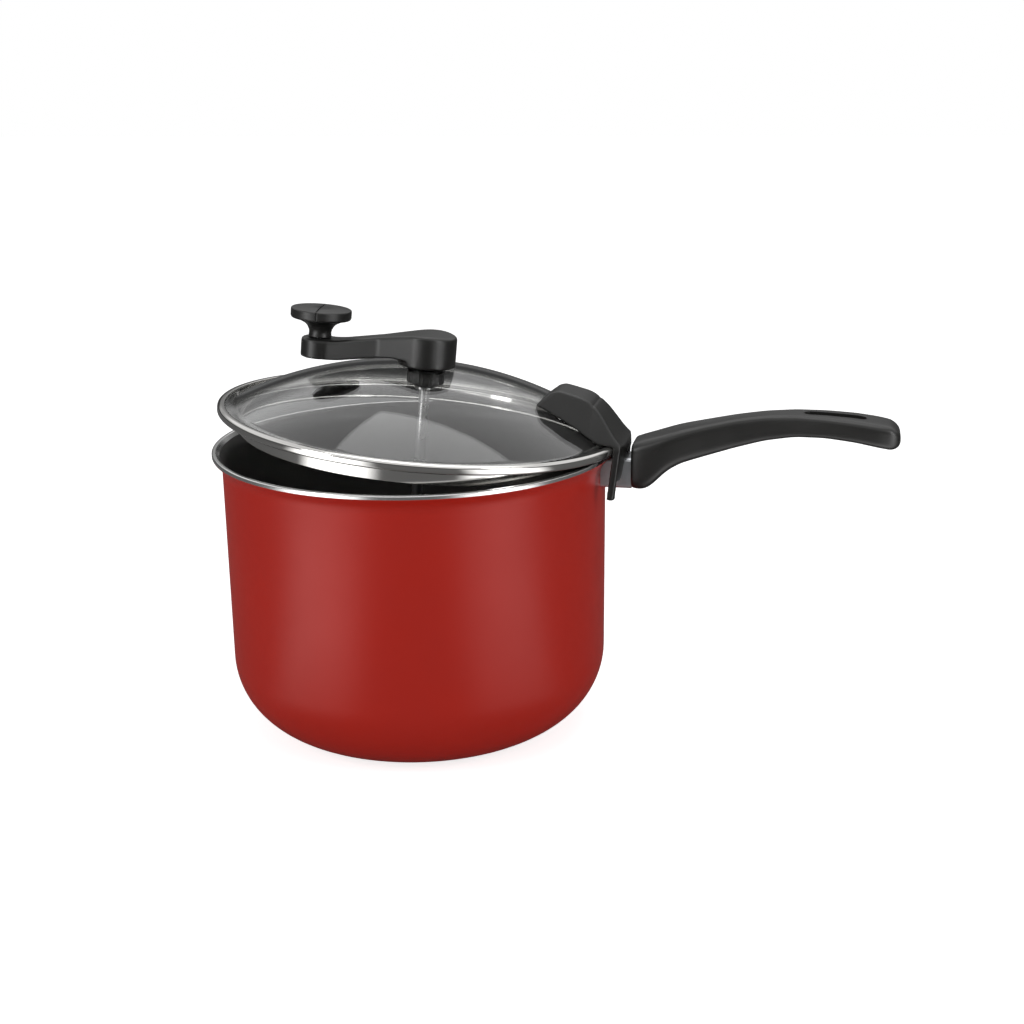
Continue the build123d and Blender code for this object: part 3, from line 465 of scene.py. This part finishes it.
# %% Pan shell
WALL = 0.0023
FLOOR = 0.003
WALL_R = 0.10915
DRAFT = 0.0004
CORNER_R = 0.044
RIM_EDGE = 0.0024
RIM_FLARE = 0.0057
BEND_R = 0.010
EDGE_R = 0.0009

rim_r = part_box("pan_body")[1].x
pan_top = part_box("pan_body")[1].z
edge_foot = pan_top - RIM_EDGE
BASE_R = WALL_R - DRAFT - CORNER_R
RING_PITCH = 0.0026
RING_DEPTH = 0.00025
RINGED_R = BASE_R - 0.004
FOOT_R = BASE_R - 0.003

ring_r = np.linspace(0, RINGED_R, 97)
ring_z = RING_DEPTH * (0.5 - 0.5 * np.cos(ring_r / RING_PITCH * 2 * math.pi))
base = np.stack([ring_r, ring_z], -1)
outside = rounded(
    [
        (FOOT_R, 0),
        (WALL_R - DRAFT, 0),
        (WALL_R, edge_foot - RIM_FLARE),
        (rim_r, edge_foot),
        (rim_r, pan_top),
        (rim_r - WALL, pan_top),
        (WALL_R - WALL, pan_top - RIM_FLARE),
        (WALL_R - WALL - DRAFT, FLOOR),
        (0, FLOOR),
    ],
    [0, CORNER_R, BEND_R, EDGE_R, EDGE_R, EDGE_R, BEND_R + WALL, CORNER_R - WALL, 0],
    math.radians(4),
)
profile = np.concatenate([base, outside])
points, faces = turned(profile, 240)
pan = piece("pan_shell", points, faces, "pan", "pan_body")

for material in (RED, NONSTICK, BARE):
    pan.data.materials.append(material)
ENAMEL_ZONE, LINING_ZONE, BARE_ZONE = 0, 1, 2
EDGE_MARGIN = 0.0002
BASE_MARGIN = 0.0005
middles, normals = np.zeros((2, len(pan.data.polygons) * 3))
pan.data.polygons.foreach_get("center", middles)
pan.data.polygons.foreach_get("normal", normals)
middles, normals = middles.reshape(-1, 3), normals.reshape(-1, 3)
across = np.hypot(middles[:, 0], middles[:, 1])
facing = (middles[:, :2] * normals[:, :2]).sum(axis=1) / np.maximum(across, 1e-6)
inside = (facing < -0.05) | ((normals[:, 2] > 0.5) & (middles[:, 2] < pan_top - RIM_EDGE))
zone = np.where(inside, LINING_ZONE, ENAMEL_ZONE)
zone[middles[:, 2] > edge_foot + EDGE_MARGIN] = BARE_ZONE
zone[(normals[:, 2] < -0.5) & (across < BASE_R - BASE_MARGIN)] = BARE_ZONE
pan.data.polygons.foreach_set("material_index", zone.astype(np.int32))
print("pan zones:", np.bincount(zone))

# %% [markdown]
# ## The glass dome and its steel rim
#
# The glass is a shallow part of a sphere with a flat edge. Glass shows every facet twice, by
# reflection and by refraction, so it is turned from fine arcs here. The steel rim is rolled
# round the edge of the glass and carries a skirt that hangs into the pan.

# %% Glass and rim
GLASS_THICK = 0.0034
GLASS_SEAT = 0.0009
GLASS_R = 0.1128
DOME_R = 0.1076
DOME_RISE = 0.0282
HOLE_R = 0.0057
GLASS_ROUND = 0.0015

sphere_out = (DOME_R**2 + DOME_RISE**2) / (2 * DOME_RISE)
sphere_in = sphere_out - GLASS_THICK
glass_top = GLASS_SEAT + GLASS_THICK
sphere_z = glass_top + DOME_RISE - sphere_out


def dome(radius, sphere):
    """(radius, height) points of the sphere: height is the centre's plus sqrt(R^2 - radius^2)."""
    return np.stack([radius, sphere_z + np.sqrt(sphere**2 - radius**2)], -1)


inner_r = math.sqrt(sphere_in**2 - (GLASS_SEAT - sphere_z) ** 2)
under = dome(np.linspace(HOLE_R, inner_r, 40), sphere_in)
edge = rounded(
    [
        (GLASS_R - 0.001, GLASS_SEAT),
        (GLASS_R, GLASS_SEAT),
        (GLASS_R, glass_top),
        (GLASS_R - 0.002, glass_top),
    ],
    [0, GLASS_ROUND, GLASS_ROUND, 0],
)
over = dome(np.linspace(DOME_R, HOLE_R, 48), sphere_out)
points, faces = turned(np.concatenate([under, edge, over]), 240, True, LID_PLACE)
glass = piece("glass_dome", points, faces, "lid", "lid_glass")
glass.data.materials.append(GLASS)

BAND_R = 0.1152
BAND_FOOT_R = 0.1135
LIP_R = 0.1110
BAND_TOP = 0.0052
SHEET = 0.0008
SKIRT_R = 0.1032
SKIRT_FOOT = -0.00865
HEM_R = 0.0009
BAND_ROUND = 0.0008
LIP_IN = 0.0006

rim = rounded(
    [
        (SKIRT_R - SHEET / 2, SKIRT_FOOT),
        (SKIRT_R, SKIRT_FOOT),
        (SKIRT_R, 0),
        (BAND_FOOT_R, 0),
        (BAND_R, BAND_ROUND),
        (BAND_R, BAND_TOP - BAND_ROUND),
        (BAND_FOOT_R, BAND_TOP),
        (LIP_R, BAND_TOP),
        (LIP_R, BAND_TOP - SHEET),
        (BAND_FOOT_R - LIP_IN, BAND_TOP - SHEET),
        (BAND_R - SHEET, BAND_TOP / 2),
        (BAND_FOOT_R - LIP_IN, SHEET),
        (SKIRT_R - SHEET, SHEET),
        (SKIRT_R - SHEET, SKIRT_FOOT + 2 * HEM_R),
        (SKIRT_R - SHEET - HEM_R, SKIRT_FOOT + 2 * HEM_R),
        (SKIRT_R - SHEET - HEM_R, SKIRT_FOOT),
        (SKIRT_R - SHEET / 2, SKIRT_FOOT),
    ],
    [
        *(0, 0.0003, 0.0008, 0.001, 0.0016, 0.0016, 0.001, 0.00035, 0.00035),
        *(0.0003, 0.001, 0.0003, 0.0006, 0, 0.0008, 0.0008, 0),
    ],
    math.radians(12),
)[:-1]
points, faces = turned(rim, 240, True, LID_PLACE)
band = piece("rolled_rim", points, faces, "lid", "lid_rim")
band.data.materials.append(POLISHED)

# %% [markdown]
# ## Moulded edges
#
# A moulding has no sharp edge, because the mould hasn't. A Bevel modifier would round each edge
# of a CAD copy, but it stumbles over the many narrow triangles where several cuts meet. A fine
# voxel skin has no such places: the copy is wrapped in equal small faces, and a few smoothing
# passes then wear every edge down by the same small amount.

# %% Softened copies
MERGE_WITHIN = 0.000002


def softened(node, name, body, voxel, passes, shape=None):
    """Smooth copy of a CAD node that stands for it.

    The copy's points are merged and wrapped in voxels. Each smoothing pass moves a point halfway
    to the mean of its neighbours, so edges round off over about voxel * sqrt(passes).
    """
    wrapped = bpy.data.objects.new(name, NODES[node].data.copy())
    bpy.context.scene.collection.objects.link(wrapped)
    weld = wrapped.modifiers.new("weld", "WELD")
    weld.merge_threshold = MERGE_WITHIN
    skin = wrapped.modifiers.new("skin", "REMESH")
    skin.mode = "VOXEL"
    skin.voxel_size = voxel
    soft = wrapped.modifiers.new("soft", "SMOOTH")
    soft.factor = 0.5
    soft.iterations = passes
    graph = bpy.context.evaluated_depsgraph_get()
    mesh = bpy.data.meshes.new_from_object(wrapped.evaluated_get(graph))
    bpy.data.objects.remove(wrapped)
    if shape:
        points = np.zeros(len(mesh.vertices) * 3)
        mesh.vertices.foreach_get("co", points)
        mesh.vertices.foreach_set("co", shape(points.reshape(-1, 3)).ravel())
        mesh.update()
    mesh.polygons.foreach_set("use_smooth", np.ones(len(mesh.polygons), bool))
    thing = bpy.data.objects.new(name, mesh)
    bpy.context.scene.collection.objects.link(thing)
    thing.data.materials.clear()
    thing.data.materials.append(BLACK)
    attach(thing, body)
    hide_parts(node)
    print(name, "faces:", len(mesh.polygons))


# %% [markdown]
# ## Hood and crank
#
# The hood's brow is one long bend on the real moulding, not two flats that meet. After the
# smoothing its top is bent down towards a smooth curve: each point moves by the difference
# between the curve and the flats at its own distance from the lid's axis, and points low on the
# sides move less. The crank only gets its edges worn.

# %% Hood and crank
LOWEST_FLAT = 0.004
FLATS = np.array([(0.060, 0.0311), (0.0770, 0.0311), (0.0986, 0.0271), (0.1195, 0.0022)])
BEND = 0.0075


def eased(x, half):
    """Mean of the flats' height over a stretch of the given half length to both sides of x."""
    shares = np.linspace(-half, half, 21)
    return np.interp(x[:, None] + shares, FLATS[:, 0], FLATS[:, 1]).mean(axis=1)


def bent(points):
    """Moves points by eased height minus flat height, times their share of the hood's height."""
    back = np.array(LID_PLACE.inverted())
    level = points @ back[:3, :3].T + back[:3, 3]
    flat = np.interp(level[:, 0], FLATS[:, 0], FLATS[:, 1])
    share = np.clip(level[:, 2] / np.maximum(flat, LOWEST_FLAT), 0, 1) ** 2
    level[:, 2] += (eased(level[:, 0], BEND) - flat) * share
    there = np.array(LID_PLACE)
    return level @ there[:3, :3].T + there[:3, 3]


softened("lid_hood", "hood", "lid", 0.00045, 16, bent)
softened("crank_arm", "crank", "crank", 0.0005, 14)

# %% [markdown]
# The knob is round, so it is turned: a neck that flares into a thick disc with a slightly domed
# top. The fine line across it, where the two halves of its mould met, is cut with thin blocks
# and Boolean modifiers.


# %% Knob
def cut(thing, name, points, faces):
    """Takes a closed shape out of a piece with a Boolean modifier, and applies it."""
    mesh = bpy.data.meshes.new(name)
    mesh.from_pydata(np.asarray(points).tolist(), [], faces)
    tool = bpy.data.objects.new(name, mesh)
    bpy.context.scene.collection.objects.link(tool)
    change = thing.modifiers.new(name, "BOOLEAN")
    change.operation = "DIFFERENCE"
    change.solver = "EXACT"
    change.object = tool
    graph = bpy.context.evaluated_depsgraph_get()
    made = bpy.data.meshes.new_from_object(thing.evaluated_get(graph))
    thing.modifiers.clear()
    thing.data = made
    bpy.data.objects.remove(tool)
    print(thing.name, "after", name, "faces:", len(made.polygons))


BOX_FACES = [(0, 1, 3, 2), (4, 6, 7, 5), (0, 4, 5, 1), (2, 3, 7, 6), (0, 2, 6, 4), (1, 5, 7, 3)]


def box_points(low, high, place):
    """Corners of a box between two corners, put in place by a matrix."""
    pick = np.array([(i, j, k) for i in (0, 1) for j in (0, 1) for k in (0, 1)])
    corners = np.where(pick, high, low)
    return corners @ np.array(place.to_3x3()).T + np.array(place.translation)


KNOB_AT = (-0.0635, 0.0, 0.041494)
KNOB_R = 0.01725
KNOB_HEIGHT = 0.0168
KNOB_BORE_R = 0.0027
KNOB_BORE_TOP = 0.0125
DISC_FOOT = 0.0106
LINE_WIDTH = 0.0007
LINE_DEPTH = 0.0005
LINE_TURN = math.radians(98)
CROWN_DROP = 0.0003
PAST = 0.001

knob_place = LID_PLACE @ Matrix.Translation(KNOB_AT)
knob_profile = rounded(
    [
        (0, KNOB_BORE_TOP),
        (KNOB_BORE_R, KNOB_BORE_TOP),
        (KNOB_BORE_R, 0),
        (0.0066, 0),
        (0.0062, 0.0032),
        (0.0080, 0.0070),
        (0.0125, DISC_FOOT - 0.0012),
        (0.0168, DISC_FOOT),
        (KNOB_R, DISC_FOOT + 0.001),
        (KNOB_R, KNOB_HEIGHT - 0.0008),
        (0.010, KNOB_HEIGHT - 0.0001),
        (0, KNOB_HEIGHT),
    ],
    [0, 0.0002, 0.0003, 0.0005, 0.005, 0.006, 0.004, 0.0006, 0.0006, 0.0009, 0.02, 0],
)
points, faces = turned(knob_profile, 128, False, knob_place)
knob = piece("turning_knob_cap", points, faces, "turning_knob", "knob")
knob.data.materials.append(BLACK)
line_place = knob_place @ Matrix.Rotation(LINE_TURN, 4, "Z")
reach = KNOB_R + PAST
side = LINE_WIDTH / 2
top_foot = KNOB_HEIGHT - LINE_DEPTH - CROWN_DROP
for name, low, high in (
    ("top_line", (-reach, -side, top_foot), (reach, side, KNOB_HEIGHT + PAST)),
    ("near_line", (-reach, -side, DISC_FOOT), (-KNOB_R + LINE_DEPTH, side, KNOB_HEIGHT)),
    ("far_line", (KNOB_R - LINE_DEPTH, -side, DISC_FOOT), (reach, side, KNOB_HEIGHT)),
):
    cut(knob, name, box_points(low, high, line_place), BOX_FACES)

# %% [markdown]
# ## The grip
#
# The grip is one long moulding whose section changes all the way: tall at the root, slim at the
# waist, wide and flat at the end. Lofting between drawn curves would do too, but a grid of
# sections along the handle, each a rounded rectangle with a dished top, keeps the whole shape in
# one small table. A row of it is the distance from the root, then the section's bottom, top, half
# width and dish, in millimetres.

# %% Grip
GRIP_ROOT = 0.1261
GRIP_LEVEL = 0.1628
STATIONS = np.array(
    [
        (0.0, -16.2, 8.3, 13.2, 0.1),
        (2.2, -17.4, 9.8, 14.5, 0.1),
        (8.4, -17.1, 11.7, 14.8, 0.2),
        (13.6, -12.4, 13.5, 14.7, 0.5),
        (18.9, -6.4, 15.5, 14.3, 0.9),
        (26.9, -1.6, 18.1, 13.2, 1.2),
        (39.9, 2.6, 21.2, 11.2, 1.2),
        (55.9, 7.8, 24.6, 9.8, 0.9),
        (71.9, 12.5, 26.9, 9.7, 0.5),
        (87.9, 15.4, 27.9, 10.9, 0.4),
        (103.9, 15.7, 27.6, 12.6, 0.4),
        (119.9, 14.1, 26.5, 14.0, 0.3),
        (132.9, 11.6, 24.8, 14.3, 0.2),
        (139.4, 10.6, 23.4, 13.2, 0.1),
        (143.4, 9.6, 22.4, 12.6, 0.1),
    ]
) / 1000
END_ROUND = 0.0065
ROOT_ROUND = 0.0016
SQUARENESS = 5.0

SECTION_POINTS = 96
END_SHARE = 0.8
MARGIN = 0.008
GRIP_LENGTH = STATIONS[-1, 0]


def smoothed(values, along):
    """One column of the stations, smoothed and read at the places along the grip.

    The column is read at 600 even places first. Each then becomes the mean of the 61 nearest,
    with the weight exp(-t^2 / 2) where t runs from -3 to 3.
    """
    even = np.linspace(-MARGIN, GRIP_LENGTH + MARGIN, 600)
    weight = np.exp(-0.5 * np.linspace(-3, 3, 61) ** 2)
    padded = np.pad(np.interp(even, STATIONS[:, 0], values), 30, "edge")
    return np.interp(along, even, np.convolve(padded, weight / weight.sum(), "valid"))


def grip_sections(along):
    """Grid of points with one section for each place along the grip.

    A section is |y / half width|^n + |z / half height|^n = 1 with n = SQUARENESS. A quarter
    circle at each end draws it in, and its top is lowered by dish * (1 - (y / half width)^2).
    """
    low, high, half, dish = (smoothed(values, along) for values in STATIONS.T[1:])
    into_root = np.clip(along / ROOT_ROUND, 0, 1)
    into_end = np.clip((along - GRIP_LENGTH + END_ROUND) / END_ROUND, 0, 1)
    shrink = ROOT_ROUND * (1 - np.sqrt(1 - (1 - into_root) ** 2))
    shrink += END_ROUND * (1 - np.sqrt(1 - into_end**2)) * END_SHARE
    angle = np.linspace(0, 2 * math.pi, SECTION_POINTS, endpoint=False)
    power = 2 / SQUARENESS
    across = np.sign(np.cos(angle)) * np.abs(np.cos(angle)) ** power
    rise = np.sign(np.sin(angle)) * np.abs(np.sin(angle)) ** power
    y = np.outer(half - shrink, across)
    z = (high + low)[:, None] / 2 + np.outer((high - low) / 2 - shrink, rise)
    z -= np.maximum(rise, 0) * dish[:, None] * (1 - (y / half[:, None]) ** 2)
    x = np.repeat(along[:, None], SECTION_POINTS, axis=1)
    return np.stack([GRIP_ROOT + x, y, GRIP_LEVEL + z], -1)


def tube(grid):
    """Points and faces of a tube through the rows of a grid, with a fan that closes each end."""
    rows, around = grid.shape[:2]
    count = rows * around
    index = np.arange(count).reshape(rows, around)
    ahead = np.roll(index, -1, axis=1)
    quads = np.stack([index[:-1], ahead[:-1], ahead[1:], index[1:]], -1).reshape(-1, 4)
    root_fan = np.stack([np.full(around, count), ahead[0], index[0]], -1)
    end_fan = np.stack([np.full(around, count + 1), index[-1], ahead[-1]], -1)
    middles = np.stack([grid[0].mean(axis=0), grid[-1].mean(axis=0)])
    faces = quads.tolist() + root_fan.tolist() + end_fan.tolist()
    return np.concatenate([grid.reshape(-1, 3), middles]), faces


along = np.concatenate(
    [
        ROOT_ROUND * (1 - np.cos(np.linspace(0, math.pi / 2, 7))),
        np.linspace(ROOT_ROUND, GRIP_LENGTH - END_ROUND, 150)[1:-1],
        GRIP_LENGTH - END_ROUND + END_ROUND * np.sin(np.linspace(0, math.pi / 2, 16)),
    ]
)
points, faces = tube(grip_sections(along))
grip = piece("grip", points, faces, "pan", "handle_grip")
grip.data.materials.append(BLACK)

# %% [markdown]
# The slot takes a hook or a peg, and the recess lets the screw's head in from below. Both are cut
# with Boolean modifiers, which is simpler than leaving holes in the grid of sections.

# %% Slot and recess
SLOT_X = 0.235
SLOT_LENGTH = 0.033
SLOT_R = 0.0038
SLOT_FOOT = 0.15
SLOT_TOP = 0.21
SCREW_X = 0.1321
SCREW_SEAT = 0.1502
RECESS_R = 0.0043
RECESS_FOOT = 0.13


def column(outline, low, high):
    """Points and faces of an upright column with a given outline of (x, y) points."""
    count = len(outline)
    ring = np.arange(count)
    points = np.concatenate([np.c_[outline, np.full(count, low)], np.c_[outline, np.full(count, high)]])
    sides = np.stack([ring, np.roll(ring, -1), np.roll(ring, -1) + count, ring + count], -1)
    return points, sides.tolist() + [ring[::-1].tolist(), (ring + count).tolist()]


turn = np.linspace(-math.pi / 2, math.pi / 2, 25)
slot_end = np.c_[SLOT_LENGTH / 2 - SLOT_R + SLOT_R * np.cos(turn), SLOT_R * np.sin(turn)]
slot_outline = np.concatenate([slot_end, -slot_end]) + (SLOT_X, 0)
cut(grip, "slot", *column(slot_outline, SLOT_FOOT, SLOT_TOP))
turn = np.linspace(0, 2 * math.pi, 48, endpoint=False)
recess_outline = np.c_[SCREW_X + RECESS_R * np.cos(turn), RECESS_R * np.sin(turn)]
cut(grip, "recess", *column(recess_outline, RECESS_FOOT, SCREW_SEAT))

# %% [markdown]
# ## Finishes for the CAD pieces
#
# The pieces whose CAD shape is right keep it and only change their material. Each one gets the
# finish of its slot in the record.

# %% CAD pieces
FINISHES = {
    "red_enamel": RED,
    "cast_aluminium": CAST,
    "black_plastic": BLACK,
    "clear_glass": GLASS,
    "polished_steel": POLISHED,
    "steel": STEEL,
    "black_rubber": RUBBER,
    "brass": BRASS,
}
for part in frame["record"]["subparts"]:
    mesh = NODES[part["node"]].data
    mesh.materials.clear()
    mesh.materials.append(FINISHES[part["material_slot"]])
print("finished nodes:", len(NODES))

# %% [markdown]
# ## Floor
#
# The popper stands on white, as in a catalogue. The camera and the glass see a floor that shines
# a little by itself, which lights the object no more for it. Mirrors see a darker floor with two
# pools of light on it, left and right of the camera: they draw the two soft bands down the pan,
# and the dark between them keeps the steel rim from going plain white.

# %% Floor
FLOOR_HALF = 6.0
PAPER = 0.85
PAPER_ROUGH = 0.9
PAPER_GLOW = 0.75
MIRRORED_PAPER = 0.1
MIRRORED_GLOW = 0.03
POOLS = ((-125, 28, 2.5), (-31, 27, 2.1))
POOL_START = 0.13
POOL_FULL = 0.3


def grey(tone):
    """Colour with the same red, green and blue."""
    return (tone, tone, tone, 1.0)


def maths(tree, operation, first, second):
    """Output of a Math node on two values."""
    return add(tree, "Math", [(0, first), (1, second)], operation=operation).outputs[0]


def seen_directly(tree):
    """1 for camera, mirror and glass rays, and 0 for the rays that light things."""
    rays = add(tree, "LightPath").outputs
    first = maths(tree, "MAXIMUM", rays["Is Camera Ray"], rays["Is Glossy Ray"])
    return maths(tree, "MAXIMUM", first, rays["Is Transmission Ray"])


def light_pools(tree):
    """Strength of the pools of light at a spot of the floor.

    A pool is (azimuth and half width in degrees, strength). It is strongest where the direction
    from the middle of the floor to the spot points at the azimuth, and fades out at the half
    width. Nearer the pan than POOL_START there is none.
    """
    spot = add(tree, "TexCoord").outputs["Object"]
    outward = add(tree, "VectorMath", [(0, spot)], operation="NORMALIZE").outputs[0]
    pools = []
    for azimuth, half_width, strength in POOLS:
        aim = (math.cos(math.radians(azimuth)), math.sin(math.radians(azimuth)), 0.0)
        near = add(tree, "VectorMath", [(0, outward), (1, aim)], operation="DOT_PRODUCT")
        brink = math.cos(math.radians(half_width))
        pool = add(
            tree,
            "MapRange",
            [("Value", near.outputs["Value"]), ("From Min", brink), ("To Max", strength)],
            interpolation_type="SMOOTHSTEP",
        )
        pools.append(pool.outputs["Result"])
    away = add(tree, "VectorMath", [(0, spot)], operation="LENGTH").outputs["Value"]
    begins = add(
        tree,
        "MapRange",
        [("Value", away), ("From Min", POOL_START), ("From Max", POOL_FULL)],
        interpolation_type="SMOOTHSTEP",
    )
    return maths(tree, "MULTIPLY", maths(tree, "ADD", *pools), begins.outputs["Result"])


corners = np.array([(-1, -1, 0), (1, -1, 0), (1, 1, 0), (-1, 1, 0)]) * FLOOR_HALF
mesh = bpy.data.meshes.new("studio_floor")
mesh.from_pydata(corners.tolist(), [], [(0, 1, 2, 3)])
floor = bpy.data.objects.new("studio_floor", mesh)
bpy.context.scene.collection.objects.link(floor)
floor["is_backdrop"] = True
paper = bpy.data.materials.new("paper")
paper.use_nodes = True
mesh.materials.append(paper)
tree = paper.node_tree
shader = tree.nodes["Principled BSDF"]
shader.inputs["Roughness"].default_value = PAPER_ROUGH
shader.inputs["Emission Color"].default_value = grey(1)
mirrored = add(tree, "LightPath").outputs["Is Glossy Ray"]
glow = add(
    tree,
    "Mix",
    [
        ("Factor", mirrored),
        (VALUE_A, maths(tree, "MULTIPLY", seen_directly(tree), PAPER_GLOW)),
        (VALUE_B, maths(tree, "ADD", light_pools(tree), MIRRORED_GLOW)),
    ],
)
sheet = add(
    tree,
    "Mix",
    [("Factor", mirrored), (COLOUR_A, grey(PAPER)), (COLOUR_B, grey(MIRRORED_PAPER))],
    data_type="RGBA",
)
tree.links.new(glow.outputs[VALUE_OUT], shader.inputs["Emission Strength"])
tree.links.new(sheet.outputs[COLOUR_OUT], shader.inputs["Base Color"])
print("floor:", 2 * FLOOR_HALF, "m wide, pools:", len(POOLS))

# %% [markdown]
# ## World
#
# The world is plain white behind the popper and lights it softly from all round. Mirrors see a
# room instead: dark near the horizon, brighter at the height of the softboxes, and pale above.
# The table gives its tone by the height of the direction, where 0 is level and 1 straight up.

# %% World
WORLD_LIGHT = 0.34
WORLD_SEEN = 1.0
LEVEL_TONE = 0.15
OVERHEAD_TONE = 0.7
ROOM = ((0.08, 0.04), (0.20, 0.06), (0.27, 0.45), (0.34, 0.4), (0.46, 1.0))

world = bpy.data.worlds.new("studio")
bpy.context.scene.world = world
world.use_nodes = True
tree = world.node_tree
sky = tree.nodes["Background"]
sky.inputs["Color"].default_value = grey(1)
plain = add(
    tree,
    "MapRange",
    [("Value", seen_directly(tree)), ("To Min", WORLD_LIGHT), ("To Max", WORLD_SEEN)],
)
upward = add(tree, "SeparateXYZ", [("Vector", add(tree, "TexCoord").outputs["Generated"])])
room = add(tree, "ValToRGB", [("Fac", upward.outputs["Z"])])
tones = room.color_ramp.elements
tones[0].color = grey(LEVEL_TONE)
tones[1].color = grey(OVERHEAD_TONE)
for position, tone in ROOM:
    tones.new(position).color = grey(tone)
strength = add(
    tree,
    "Mix",
    [
        ("Factor", add(tree, "LightPath").outputs["Is Glossy Ray"]),
        (VALUE_A, plain.outputs["Result"]),
        (VALUE_B, room.outputs["Color"]),
    ],
)
tree.links.new(strength.outputs[VALUE_OUT], sky.inputs["Strength"])
print("world:", world.name, "tones:", len(tones))

# %% [markdown]
# ## Lamps
#
# Two tall softboxes stand left and right of the camera, and a wide one hangs overhead. Point
# lamps would give hard spots on the glass; wide lamps give soft edges to every highlight.

# %% Lamps
SOFTBOXES = (
    ("left_softbox", (-0.86, -1.00, 0.58), (0, 0, 0.4), 0.34, 1.1, 7.0),
    ("right_softbox", (1.20, -0.62, 0.58), (0, 0, 0.4), 0.34, 1.1, 6.5),
    ("top_softbox", (0.1, 0.2, 1.5), (0.05, 0, 0.1), 1.2, 1.2, 6.0),
)


def lamp(name, place, aim, width, height, power):
    """Area lamp at a place that points at aim."""
    light = bpy.data.lights.new(name, "AREA")
    light.shape = "RECTANGLE"
    light.size = width
    light.size_y = height
    light.energy = power
    thing = bpy.data.objects.new(name, light)
    bpy.context.scene.collection.objects.link(thing)
    towards = (Vector(aim) - Vector(place)).to_track_quat("-Z", "Y")
    thing.matrix_world = Matrix.Translation(place) @ towards.to_matrix().to_4x4()


for softbox in SOFTBOXES:
    lamp(*softbox)
bpy.context.scene.view_settings.view_transform = "Standard"
print("lamps:", len(bpy.data.lights))

# %% [markdown]
# ## Measure and finish
#
# The box of the visual model is printed.

# %% Sizes
low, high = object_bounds()
print("visual box:", tuple(low), tuple(high))
